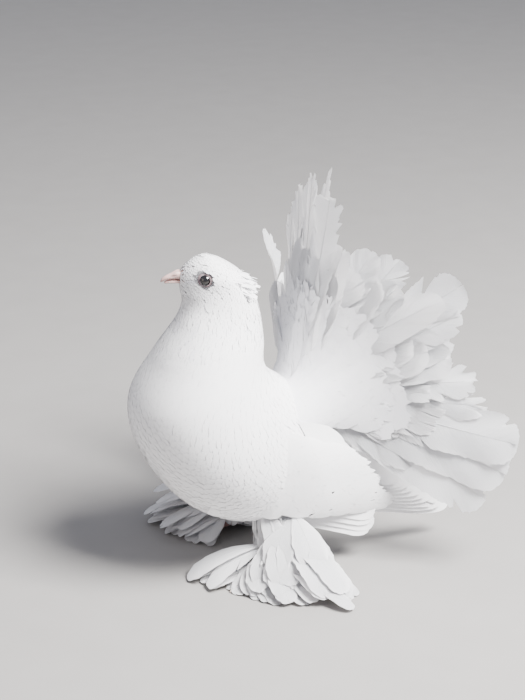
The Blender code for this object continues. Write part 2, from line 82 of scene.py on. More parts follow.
def unit(vectors: Array) -> Array:
    """Vectors scaled to length one."""
    return vectors / np.maximum(np.linalg.norm(vectors, axis=-1, keepdims=True), 1e-9)


def smooth(value: Array, low: float, high: float) -> Array:
    """Smooth step from 0 at low to 1 at high."""
    t = np.clip((np.asarray(value, float) - low) / (high - low), 0, 1)
    return t * t * (3 - 2 * t)


def spun(vectors: Array, angle: Array, pivot_x: float = 0.0) -> Array:
    """Vectors turned about the upright line at pivot_x.

    Args:
        vectors: Points or directions, the last axis being X, Y, Z.
        angle: Turn in radians, one for all or one for each.
        pivot_x: Where the line stands; 0 for directions.

    Returns:
        The turned vectors.
    """
    cos, sin = np.cos(angle), np.sin(angle)
    x, y = vectors[..., 0] - pivot_x, vectors[..., 1]
    return np.stack([pivot_x + cos * x - sin * y, sin * x + cos * y, vectors[..., 2] + 0 * x], -1)


@dataclass(frozen=True)
class Flesh:
    """The loft of torso, neck and head, by stations from rump to crown.

    Each station is back x, back z, front x, front z and half width.
    """

    stations: tuple[tuple[float, ...], ...] = (
        (60, 88, 66, 70, 8),
        (53, 101, 60, 52, 18),
        (41, 113, 36, 38, 31),
        (22, 126, -8, 33, 47),
        (12, 133, -46, 50, 54),
        (7, 140, -72, 84, 52),
        (5, 149, -80, 118, 46),
        (6, 160, -64, 150, 35),
        (5, 174, -48, 173, 25),
        (2, 187, -43, 186, 19.5),
        (-2, 197, -44.5, 196, 16.5),
        (-9, 205, -44.5, 204.5, 15),
        (-19, 211.5, -40, 210.5, 11),
        (-27, 215, -34, 214.6, 4),
        (-30, 215.8, -31, 215.8, 0.5),
    )
    neck_base: int = 7
    neck: int = 8
    throat: int = 9
    brow: int = 11
    head_yaw: float = math.radians(-18)
    yaw_x: float = -10.0

    def station(self, place: Array) -> tuple[Array, Array, Array]:
        """Back point, front point (each x, z) and half width at places along the stations."""
        keys = np.array(self.stations, float)
        last = len(keys) - 1
        place = np.clip(place, 0, last)
        low = np.clip(np.floor(place).astype(int), 0, last - 1)
        t = (place - low)[..., None]
        before, start = keys[np.maximum(low - 1, 0)], keys[low]
        end, after = keys[low + 1], keys[np.minimum(low + 2, last)]
        bend = 2 * before - 5 * start + 4 * end - after
        turn = 3 * (start - end) + after - before
        values = start + 0.5 * t * (end - before + t * (bend + t * turn))
        return values[..., 0:2], values[..., 2:4], values[..., 4]

    def yaw(self, place: Array) -> Array:
        """The head's turn at a place, which grows along the neck."""
        return self.head_yaw * smooth(place, self.neck_base, self.throat)

    def point(self, place: Array, angle: Array, depth: Array = 0.0) -> Array:
        """Points of the surface.

        Args:
            place: Place along the stations.
            angle: Angle round the ring, 0 at the front and a quarter turn at the right side.
            depth: How far outwards in the ring's plane; negative is inside.

        Returns:
            Points in mm.
        """
        place, angle = np.broadcast_arrays(np.asarray(place, float), np.asarray(angle, float))
        back, front, half = self.station(place)
        centre, forward = (back + front) / 2, front - back
        reach = np.linalg.norm(forward, axis=-1)
        forward = forward / reach[..., None]
        head = np.clip((place - self.neck) / 3, 0, 1)
        along = (reach / 2 + depth) * np.cos(angle)
        across = (half + depth) * np.sin(angle) * (1 + (0.10 - 0.28 * head) * np.cos(angle))
        flat = centre + forward * along[..., None]
        return spun(np.stack([flat[..., 0], across, flat[..., 1]], -1), self.yaw(place), self.yaw_x)

    def slopes(self, place: Array, angle: Array) -> tuple[Array, Array]:
        """How the surface point moves with place and with angle."""
        step = 0.02
        last = len(self.stations) - 1
        ahead, behind = np.minimum(place + step, last), np.maximum(place - step, 0)
        by_place = (self.point(ahead, angle) - self.point(behind, angle)) / (ahead - behind)[..., None]
        by_angle = (self.point(place, angle + step) - self.point(place, angle - step)) / (2 * step)
        return by_place, by_angle

    def normal(self, place: Array, angle: Array) -> Array:
        """Outward normals."""
        by_place, by_angle = self.slopes(place, angle)
        return unit(np.cross(by_angle, by_place))

    def lie(self, place: Array, angle: Array) -> Array:
        """Direction in which feathers lie: back from the bill, then down the neck to the tail."""
        by_place, _ = self.slopes(place, angle)
        share = smooth(place, self.throat - 0.3, self.brow)[..., None]
        back = spun(np.array([1.0, 0.0, -0.42]) * np.ones_like(by_place), self.yaw(place))
        way = unit(-by_place) * (1 - share) + back * share
        normal = self.normal(place, angle)
        return unit(way - normal * np.sum(way * normal, -1, keepdims=True))

    def mapped(self, place: Array, angle: Array, offsets: Array) -> tuple[Array, Array]:
        """Carries offsets in the tangent plane onto the surface.

        Args:
            place: Places of the roots.
            angle: Angles of the roots.
            offsets: For each root, an array of offsets in mm.

        Returns:
            Place and angle of each carried point.
        """
        by_place, by_angle = self.slopes(place, angle)
        pp, pa = np.sum(by_place**2, -1), np.sum(by_place * by_angle, -1)
        aa = np.sum(by_angle**2, -1)
        shape = (len(place),) + (1,) * (offsets.ndim - 2)
        dp = np.einsum("n...k,nk->n...", offsets, by_place)
        da = np.einsum("n...k,nk->n...", offsets, by_angle)
        det = np.maximum(pp * aa - pa**2, 1e-6).reshape(shape)
        pp, pa, aa = pp.reshape(shape), pa.reshape(shape), aa.reshape(shape)
        moved_place = place.reshape(shape) + (aa * dp - pa * da) / det
        moved_angle = angle.reshape(shape) + (pp * da - pa * dp) / det
        return moved_place, moved_angle

    def head_point(self, x: float, y: float, z: float) -> Array:
        """A point given in the head's own plane."""
        return spun(np.array([x, y, z], float), self.head_yaw, self.yaw_x)

    def head_way(self, x: float, y: float, z: float) -> Array:
        """A direction given in the head's own plane."""
        return unit(spun(np.array([x, y, z], float), self.head_yaw))


FLESH = Flesh()


class Frame:
    """Takes the bird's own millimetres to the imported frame's metres."""

    def __init__(self) -> None:
        """Finds the shift from the torso's box."""
        places = np.linspace(0, FLESH.neck_base, 15)
        angles = 2 * np.pi * np.arange(24) / 24
        points = FLESH.point(places[:, None], angles[None, :]).reshape(-1, 3)
        low, high = (np.array(corner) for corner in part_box("torso"))
        self.shift = (low + high) / 2 - (points.min(0) + points.max(0)) / 2 * MM

    def metres(self, points: Array) -> Array:
        """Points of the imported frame."""
        return np.asarray(points, float) * MM + self.shift


FRAME = Frame()


class Shade:
    """A socket of a material's nodes, with arithmetic that adds Math nodes."""

    def __init__(self, tree: "Tree", socket: bpy.types.NodeSocket) -> None:
        """Keeps the tree and the socket."""
        self.tree = tree
        self.socket = socket

    def math(self, operation: str, *values: "Shade | float") -> "Shade":
        """Adds a Math node on these values."""
        return self.tree.node("ShaderNodeMath", {"operation": operation}, dict(enumerate(values)))

    def __add__(self, other: "Shade | float") -> "Shade":
        """Sum."""
        return self.math("ADD", self, other)

    def __sub__(self, other: "Shade | float") -> "Shade":
        """Difference."""
        return self.math("SUBTRACT", self, other)

    def __rsub__(self, other: float) -> "Shade":
        """Difference from a number."""
        return self.math("SUBTRACT", other, self)

    def __mul__(self, other: "Shade | float") -> "Shade":
        """Product."""
        return self.math("MULTIPLY", self, other)

    def __truediv__(self, other: "Shade | float") -> "Shade":
        """Quotient."""
        return self.math("DIVIDE", self, other)

    __radd__ = __add__
    __rmul__ = __mul__

    def between(self, low: float, high: float) -> "Shade":
        """Smooth step from 0 at low to 1 at high."""
        settings = {"interpolation_type": "SMOOTHSTEP"}
        return self.tree.node("ShaderNodeMapRange", settings, {"Value": self, 1: low, 2: high})


class Tree:
    """The nodes of one material, which ends in a Principled shader."""

    def __init__(self, name: str) -> None:
        """Starts an empty material."""
        self.material = bpy.data.materials.new(name)
        self.material.use_nodes = True
        self.nodes = self.material.node_tree.nodes
        self.links = self.material.node_tree.links
        self.shader = self.nodes["Principled BSDF"]

    def node(self, kind: str, settings: dict | None = None, inputs: dict | None = None,
             output: int | str = 0) -> Shade:
        """Adds a node.

        Args:
            kind: The node's type.
            settings: Its settings, set first; "stops" fills a colour ramp.
            inputs: Values or links of its sockets, by name or number.
            output: Which output to return.

        Returns:
            The output, ready for arithmetic.
        """
        made = self.nodes.new(kind)
        for key, value in (settings or {}).items():
            if key == "stops":
                ramp = made.color_ramp.elements
                while len(ramp) < len(value):
                    ramp.new(0.5)
                for element, (position, colour) in zip(ramp, value):
                    element.position = position
                    element.color = (*colour, 1)
            else:
                setattr(made, key, value)
        for key, value in (inputs or {}).items():
            self.feed(made.inputs[key], value)
        return Shade(self, made.outputs[output])

    def feed(self, socket: bpy.types.NodeSocket, value: "Shade | float | tuple") -> None:
        """Links a shade to a socket, or sets the socket's value."""
        if isinstance(value, Shade):
            self.links.new(value.socket, socket)
        else:
            socket.default_value = value

    def mix(self, factor: "Shade | float", low: "Shade | tuple", high: "Shade | tuple") -> Shade:
        """A colour between two colours."""
        low = (*low, 1) if isinstance(low, tuple) else low
        high = (*high, 1) if isinstance(high, tuple) else high
        return self.node("ShaderNodeMix", {"data_type": "RGBA"}, {0: factor, 6: low, 7: high}, 2)

    def scaled(self, vector: Shade, scale: tuple[float, float, float]) -> Shade:
        """A vector with each part multiplied."""
        return self.node("ShaderNodeVectorMath", {"operation": "MULTIPLY"}, {0: vector, 1: scale})

    def noise(self, vector: Shade, scale: float, detail: float = 3.0) -> Shade:
        """Fractal noise from 0 to 1."""
        return self.node("ShaderNodeTexNoise", {}, {"Vector": vector, "Scale": scale, "Detail": detail})

    def map(self, name: str) -> Shade:
        """A UV map as a vector."""
        return self.node("ShaderNodeUVMap", {"uv_map": name})

    def tint(self) -> Shade:
        """The mark painted on each point, 0 to 1."""
        return self.node("ShaderNodeAttribute", {"attribute_name": "tint"}, {}, "Fac")

    def place(self) -> Shade:
        """The point's place on the object."""
        return self.node("ShaderNodeTexCoord", {}, {}, "Object")

    def bump(self, height: Shade, strength: float, distance: float) -> None:
        """Feeds a Bump node to the shader's normal."""
        inputs = {"Strength": strength, "Distance": distance, "Height": height}
        self.feed(self.shader.inputs["Normal"], self.node("ShaderNodeBump", {}, inputs))

    def finish(self, colour: "Shade | tuple", roughness: "Shade | float",
               **constants: float) -> bpy.types.Material:
        """Feeds colour and roughness, sets the constant sockets and returns the material."""
        self.feed(self.shader.inputs["Base Color"], (*colour, 1) if isinstance(colour, tuple) else colour)
        self.feed(self.shader.inputs["Roughness"], roughness)
        for key, value in constants.items():
            self.shader.inputs[key.replace("_", " ")].default_value = value
        return self.material


@dataclass(frozen=True)
class Plumage:
    """White feathers: barbs as fine streaks across the vane, and a mark that deepens the colour towards the
    deep lavender grey; the mark is partly each feather's own tone and the grey face line, and partly painted
    shade, which the tint carries on the fan, the rump and each feather's root.
    """

    name: str = "plumage"
    pale: tuple[float, float, float] = (0.90, 0.895, 0.90)
    # deep is the lavender grey of painted shade, and also of the feathers' own greyer marks
    deep: tuple[float, float, float] = (0.70, 0.70, 0.755)
    streak: float = 0.12
    barb_scale: float = 1.5
    relief: float = 0.22
    roughness: float = 0.72
    sheen: float = 0.15
    glow: float = 0.0

    @functools.cached_property
    def material(self) -> bpy.types.Material:
        """The material, made once."""
        tree = Tree(self.name)
        vane = tree.map("vane")
        barbs = tree.noise(tree.scaled(vane, (0.16, self.barb_scale, 1.0)), 100.0, 2.0)
        cloud = tree.noise(tree.place(), 60.0, 2.0)
        mark = tree.tint() + (barbs - 0.5) * self.streak + (cloud - 0.5) * 0.10
        colour = tree.mix(mark.between(0.0, 1.0), self.pale, self.deep)
        tree.bump(barbs, self.relief, 0.0004)
        rough = barbs * 0.12 + (self.roughness - 0.06)
        tree.shader.inputs["Subsurface Radius"].default_value = (1.0, 0.9, 0.85)
        tree.shader.inputs["Subsurface Scale"].default_value = 0.004
        return tree.finish(colour, rough, Sheen_Weight=self.sheen, Specular_IOR_Level=0.25,
                           Subsurface_Weight=self.glow)


@dataclass(frozen=True)
class Shell:
    """A horny or bare part: bill, cere, lids, toes or claws."""

    name: str
    pale: tuple[float, float, float]
    deep: tuple[float, float, float]
    roughness: float = 0.45
    scale: float = 900.0
    relief: float = 0.3
    distance: float = 0.0002
    subsurface: float = 0.15

    @functools.cached_property
    def material(self) -> bpy.types.Material:
        """The material, made once."""
        tree = Tree(self.name)
        grain = tree.noise(tree.place(), self.scale, 4.0)
        blotch = tree.noise(tree.place(), self.scale / 6, 2.0)
        mark = tree.tint() + (blotch - 0.5) * 0.5 + (grain - 0.5) * 0.2
        colour = tree.mix(mark.between(0.0, 1.0), self.pale, self.deep)
        tree.bump(grain, self.relief, self.distance)
        tree.shader.inputs["Subsurface Radius"].default_value = (0.6, 0.25, 0.2)
        tree.shader.inputs["Subsurface Scale"].default_value = 0.0015
        rough = grain * 0.15 + (self.roughness - 0.07)
        return tree.finish(colour, rough, Subsurface_Weight=self.subsurface)


@dataclass(frozen=True)
class Eyeball:
    """A dark eye: pupil, dark brown iris and a clear wet surface."""

    name: str = "eye"
    pupil: tuple[float, float, float] = (0.004, 0.003, 0.003)
    iris: tuple[float, float, float] = (0.022, 0.009, 0.006)
    rim: tuple[float, float, float] = (0.012, 0.007, 0.006)

    @functools.cached_property
    def material(self) -> bpy.types.Material:
        """The material, made once."""
        tree = Tree(self.name)
        look = tree.tint()
        fibres = tree.noise(tree.scaled(tree.map("vane"), (40.0, 3.0, 1.0)), 1.0, 2.0)
        iris = tree.mix(fibres, self.iris, self.rim)
        inner = tree.mix(look.between(0.30, 0.36), self.pupil, iris)
        colour = tree.mix(look.between(0.62, 0.75), inner, self.rim)
        return tree.finish(colour, fibres * 0.02 + 0.03, Coat_Weight=1.0, Coat_Roughness=0.02)


@dataclass(frozen=True)
class Floor:
    """A plain pale floor."""

    name: str = "floor"
    pale: tuple[float, float, float] = (0.30, 0.29, 0.28)
    deep: tuple[float, float, float] = (0.27, 0.26, 0.25)

    @functools.cached_property
    def material(self) -> bpy.types.Material:
        """The material, made once."""
        tree = Tree(self.name)
        cloud = tree.noise(tree.place(), 30.0, 4.0)
        return tree.finish(tree.mix(cloud, self.pale, self.deep), 0.85)


COAT = Plumage()
SKIN = Plumage("skin", streak=0.05, relief=0.1)
# The vane finish of fan and muffs has a darker, more lavender pale and deep than the coat: painted shade
# over the same white feathers.
VANE = Plumage("vane", (0.87, 0.86, 0.865), (0.60, 0.595, 0.65), 0.26, 1.1, 0.45, 0.62, glow=0.55)
BILL = Shell("bill", (0.66, 0.47, 0.43), (0.47, 0.29, 0.27), 0.38)
LID = Shell("lid", (0.44, 0.35, 0.36), (0.14, 0.10, 0.12), 0.5, 1500.0, 0.6)
TOE = Shell("toe", (0.60, 0.36, 0.33), (0.42, 0.22, 0.21), 0.5, 700.0, 0.6, subsurface=0.03)
CLAW = Shell("claw", (0.70, 0.60, 0.54), (0.46, 0.36, 0.32), 0.35)


@functools.lru_cache(maxsize=None)
def plate_faces(rows: int, columns: int) -> Array:
    """Faces of a closed plate: a grid, the same grid turned over under it, and the rim between them."""
    index = np.arange(rows * columns).reshape(rows, columns)
    under = index + rows * columns
    top = np.stack([index[:-1, :-1], index[:-1, 1:], index[1:, 1:], index[1:, :-1]], -1).reshape(-1, 4)
    low = np.stack([under[:-1, :-1], under[1:, :-1], under[1:, 1:], under[:-1, 1:]], -1).reshape(-1, 4)
    loop = np.concatenate([index[0, :-1], index[:-1, -1], index[-1, :0:-1], index[:0:-1, 0]])
    after = np.roll(loop, -1)
    rim = np.stack([after, loop, loop + rows * columns, after + rows * columns], -1)
    return np.concatenate([top, low, rim])


@dataclass
class Batch:
    """Gathers closed plates and tubes into one mesh, with its maps, marks and soft normals."""

    name: str
    points: list[Array] = field(default_factory=list)
    normals: list[Array] = field(default_factory=list)
    faces: list[Array] = field(default_factory=list)
    vanes: list[Array] = field(default_factory=list)
    bakes: list[Array] = field(default_factory=list)
    tints: list[Array] = field(default_factory=list)
    count: int = 0

    def append(self, points: Array, normals: Array, faces: Array, vane: Array, bake: Array,
               tint: Array) -> None:
        """Adds points with all that belongs to them; faces count from the first of these points."""
        self.points.append(points.reshape(-1, 3))
        self.normals.append(normals.reshape(-1, 3))
        self.faces.append(faces.reshape(-1, 4) + self.count)
        self.vanes.append(vane.reshape(-1, 2))
        self.bakes.append(bake.reshape(-1, 2))
        self.tints.append(np.broadcast_to(tint, points.shape[:-1]).reshape(-1))
        self.count += len(self.points[-1])

    def plates(self, points: Array, normals: Array, thickness: Array, vane: Array, bake: Array,
               tint: Array) -> None:
        """Adds closed plates.

        Args:
            points: Middle surface, as plates, rows from root to tip, columns from left to right, XYZ.
            normals: Shading normals at the same points.
            thickness: Thickness in mm at each point.
            vane: Millimetres across and along the feather at each point.
            bake: The point's place on the bake map.
            tint: Mark from 0 to 1 at each point.
        """
        count, rows, columns = points.shape[:3]
        half = np.broadcast_to(thickness, points.shape[:3])[..., None] / 2
        both = np.stack([points + normals * half, points - normals * half], 1)
        starts = np.arange(count)[:, None, None] * 2 * rows * columns
        faces = plate_faces(rows, columns)[None] + starts
        facing = np.stack([normals, -normals], 1)
        twice = [np.stack([part, part], 1) for part in (vane, bake, np.broadcast_to(tint, points.shape[:3]))]
        self.append(both, facing, faces, *twice)

    def surface(self, grid: Array, bake: Array, tint: Array = 0.0, wrap: bool = True) -> None:
        """Adds a skin through a grid of points, round its columns when wrap is set, with flat ends.

        Args:
            grid: Rows of points; the outside is to the right of a row's run.
            bake: The point's place on the bake map.
            tint: Mark at each point.
            wrap: Whether the columns close into a ring.
        """
        rows, columns = grid.shape[:2]
        index = np.arange(rows * columns).reshape(rows, columns)
        if wrap:
            after = np.roll(index, -1, 1)
        else:
            after, index = index[:, 1:], index[:, :-1]
        faces = np.stack([index[:-1], after[:-1], after[1:], index[1:]], -1).reshape(-1, 4)
        ends = np.roll(grid, -1, 1) - np.roll(grid, 1, 1) if wrap else np.gradient(grid, axis=1)
        normals = unit(np.cross(ends, np.gradient(grid, axis=0)))
        self.append(grid, normals, faces, bake * 100, bake, tint)

    def tube(self, path: Array, radii: Array, bake: Array, tint: float = 0.0, sides: int = 6,
             flat: float = 1.0) -> None:
        """Adds a tapered tube along a path.

        Args:
            path: Points of the middle line.
            radii: Radius at each point.
            bake: Place of the tube on the bake map.
            tint: Mark of the tube.
            sides: Number of sides.
            flat: Height over width of the section.
        """
        ahead = unit(np.gradient(path, axis=0))
        across = np.cross(ahead, [0, 0, 1.0])
        weak = np.linalg.norm(across, axis=-1) < 0.05
        across[weak] = np.cross(ahead[weak], [1.0, 0, 0])
        across = unit(across)
        upward = np.cross(across, ahead)
        turns = 2 * np.pi * np.arange(sides) / sides
        cos, sin = np.cos(turns)[None, :, None], np.sin(turns)[None, :, None]
        out = across[:, None] * cos + upward[:, None] * (flat * sin)
        grid = path[:, None] + out * np.asarray(radii)[:, None, None]
        share = np.linspace(0, 1, len(path))[:, None] * np.ones(sides)
        patch = bake + PATCH * np.stack([np.cos(turns)[None] * 0.1 + 0 * share, share], -1)
        self.surface(grid[:, ::-1], patch, tint)

    def mesh(self, finish: Plumage | Shell | Eyeball, soft: bool = True) -> bpy.types.Object:
        """Makes the object.

        Args:
            finish: What it is dressed in.
            soft: Whether the gathered normals shade it.

        Returns:
            The new object, in the scene and riding on the body.
        """
        points, faces = np.concatenate(self.points), np.concatenate(self.faces)
        mesh = bpy.data.meshes.new(self.name)
        mesh.vertices.add(len(points))
        mesh.vertices.foreach_set("co", FRAME.metres(points).astype(np.float32).ravel())
        mesh.loops.add(faces.size)
        mesh.loops.foreach_set("vertex_index", faces.astype(np.int32).ravel())
        mesh.polygons.add(len(faces))
        mesh.polygons.foreach_set("loop_start", np.arange(0, faces.size, 4, dtype=np.int32))
        mesh.update(calc_edges=True)
        for name, maps in (("OFBake", self.bakes), ("vane", self.vanes)):
            layer = mesh.uv_layers.new(name=name)
            values = np.concatenate(maps)
            if name == "OFBake":
                values = np.clip(values, 0.001, 0.999)
            layer.data.foreach_set("uv", values[faces.ravel()].astype(np.float32).ravel())
        tint = mesh.attributes.new("tint", "FLOAT", "POINT")
        tint.data.foreach_set("value", np.concatenate(self.tints).astype(np.float32))
        mesh.shade_smooth()
        if soft:
            mesh.normals_split_custom_set_from_vertices(np.concatenate(self.normals).astype(np.float32))
        mesh.materials.append(finish.material)
        made = bpy.data.objects.new(self.name, mesh)
        bpy.context.scene.collection.objects.link(made)
        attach(made, BODY)
        LOG.info("%s: %d points, %d faces", self.name, len(points), len(faces))
        return made


def scattered(places: tuple[float, float], spacing: float, seed: int,
              most: int = 60000) -> tuple[Array, Array]:
    """Roots spread evenly over a stretch of the flesh.

    Args:
        places: First and last place of the stretch.
        spacing: Least distance between roots in mm.
        seed: Seed of the draw.
        most: How many candidates are tried.

    Returns:
        Place and angle of each root.
    """
    rng = np.random.default_rng(seed)
    place, angle = rng.uniform(*places, most), rng.uniform(-np.pi, np.pi, most)
    by_place, by_angle = FLESH.slopes(place, angle)
    area = np.linalg.norm(np.cross(by_place, by_angle), axis=-1)
    kept = rng.uniform(0, area.max(), most) < area
    place, angle = place[kept], angle[kept]
    points = FLESH.point(place, angle)
    cells: dict[tuple[int, int, int], list[int]] = {}
    chosen = []
    keys = np.floor(points / spacing).astype(int)
    around = [(i, j, k) for i in (-1, 0, 1) for j in (-1, 0, 1) for k in (-1, 0, 1)]
    for number, (key, point) in enumerate(zip(keys.tolist(), points)):
        near = [n for i, j, k in around for n in cells.get((key[0] + i, key[1] + j, key[2] + k), ())]
        if near and np.min(np.sum((points[near] - point) ** 2, -1)) < spacing**2:
            continue
        cells.setdefault(tuple(key), []).append(number)
        chosen.append(number)
    return place[chosen], angle[chosen]


@dataclass(frozen=True)
class Patch:
    """One region of small feathers over the flesh."""

    name: str
    places: tuple[float, float]
    spacing: float
    length: float
    width: float
    lift: float
    stray: float = 0.08
    ruffle: float = 0.1
    camber: float = 0.10
    softness: float = 0.75
    mark: float = 0.10
    rows: int = 7
    columns: int = 5
    seed: int = 1
    bulge: float = 0.0
    root_depth: float = 1.7

    def roots(self) -> tuple[Array, Array]:
        """Place and angle of every root, without those under the bill and the eyes."""
        place, angle = scattered(self.places, self.spacing, self.seed)
        points = FLESH.point(place, angle)
        kept = np.ones(len(place), bool)
        for side in Side:
            for reach in (0.0, 0.5 * self.length, self.length):
                ahead = points + FLESH.lie(place, angle) * reach
                kept &= np.linalg.norm(ahead - Eye(side).centre, axis=-1) > Eye(side).clear
        kept &= np.linalg.norm((points - BillParts().root) / BillParts().clear, axis=-1) > 1
        return place[kept], angle[kept]

    def build(self) -> bpy.types.Object:
        """Makes the region's feathers as one piece."""
        rng = np.random.default_rng(self.seed + 100)
        place, angle = self.roots()
        count = len(place)
        lie, normal = FLESH.lie(place, angle), FLESH.normal(place, angle)
        side = np.cross(lie, normal)
        stray = rng.normal(0, self.stray, count)[:, None]
        lie, side = unit(lie + side * stray), unit(side - lie * stray)
        along = np.linspace(0, 1, self.rows)
        across = np.linspace(-1, 1, self.columns)
        outline = np.interp(along, (0, 0.25, 0.6, 0.85, 1), (0.35, 0.85, 1, 0.8, 0.42))
        length = self.length * rng.uniform(0.85, 1.15, count)
        length = length * self.scale(place, angle)
        width = self.width * rng.uniform(0.85, 1.12, count)
        u = across[None, None, :] * outline[None, :, None] * width[:, None, None] / 2
        v = along[None, :, None] * length[:, None, None] + 0 * u
        tooth = np.where(np.arange(self.columns) % 2 == 1, -0.05, 0.03)
        tooth = tooth * rng.uniform(0.3, 1.6, (count, self.columns))
        v[:, -1] += length[:, None] * (tooth - 0.16 * across[None] ** 2)
        offsets = u[..., None] * side[:, None, None] + v[..., None] * lie[:, None, None]
        base, out = self.laid(place, angle, normal, offsets)
        raised = self.lift * (1 + self.ruffle * rng.normal(0, 1, count))[:, None, None]
        rise = -self.root_depth + raised * (v / length[:, None, None]) - self.camber * np.abs(u) ** 1.5
        points = base + out * rise[..., None]
        run, cross = np.gradient(points, axis=1), np.gradient(points, axis=2)
        own = unit(np.cross(cross, run))
        normals = unit(own * (1 - self.softness) + out * self.softness)
        vane = np.stack([u, v - np.abs(u)], -1) / 100
        centre = np.stack([angle / (2 * np.pi) + 0.5, place / len(FLESH.stations)], -1)
        local = np.stack([across[None, None, :] + 0 * u, 2 * v / length[:, None, None] - 1], -1)
        bake = centre[:, None, None] + local * PATCH / 2
        tint = self.tint(base, rng.normal(0, self.mark, count))
        batch = Batch(self.name)
        batch.plates(points, normals, 0.12, vane, bake, tint)
        return batch.mesh(COAT)

    def laid(self, place: Array, angle: Array, normal: Array, offsets: Array) -> tuple[Array, Array]:
        """Points and normals under each feather, along the flesh or over a ball where it is small."""
        if not self.bulge:
            on_place, on_angle = FLESH.mapped(place, angle, offsets)
            return FLESH.point(on_place, on_angle), FLESH.normal(on_place, on_angle)
        drop = np.sum(offsets**2, -1, keepdims=True) / (2 * self.bulge)
        base = FLESH.point(place, angle)[:, None, None] + offsets - normal[:, None, None] * drop
        return base, unit(normal[:, None, None] + offsets / self.bulge)

    def scale(self, place: Array, angle: Array) -> Array:
        """How long each feather is for the region; shorter on the face."""
        return 1 - 0.35 * smooth(np.cos(angle), 0.3, 1.0) * smooth(place, FLESH.throat, FLESH.brow)

    def tint(self, points: Array, own: Array) -> Array:
        """Marks of the feathers: each one's own, and those of the head."""
        return np.clip(0.12 + own[:, None, None] + head_marks(points), 0, 1)


def head_marks(points: Array) -> Array:
    """The faint grey line from the gape to the eye, on both sides."""
    marks = np.zeros(points.shape[:-1])
    for side in Side:
        start = FLESH.head_point(-44.5, side.value * 8, 201.0)
        end = Eye(side).centre + FLESH.head_way(-0.9, side.value * 0.35, -0.1) * 4.2
        way = end - start
        t = np.clip(np.sum((points - start) * way, -1) / np.sum(way * way), 0, 1)
        gap = np.linalg.norm(points - start - t[..., None] * way, axis=-1)
        marks = np.maximum(marks, 0.8 * np.exp(-((gap / 1.0) ** 2)))
    return marks


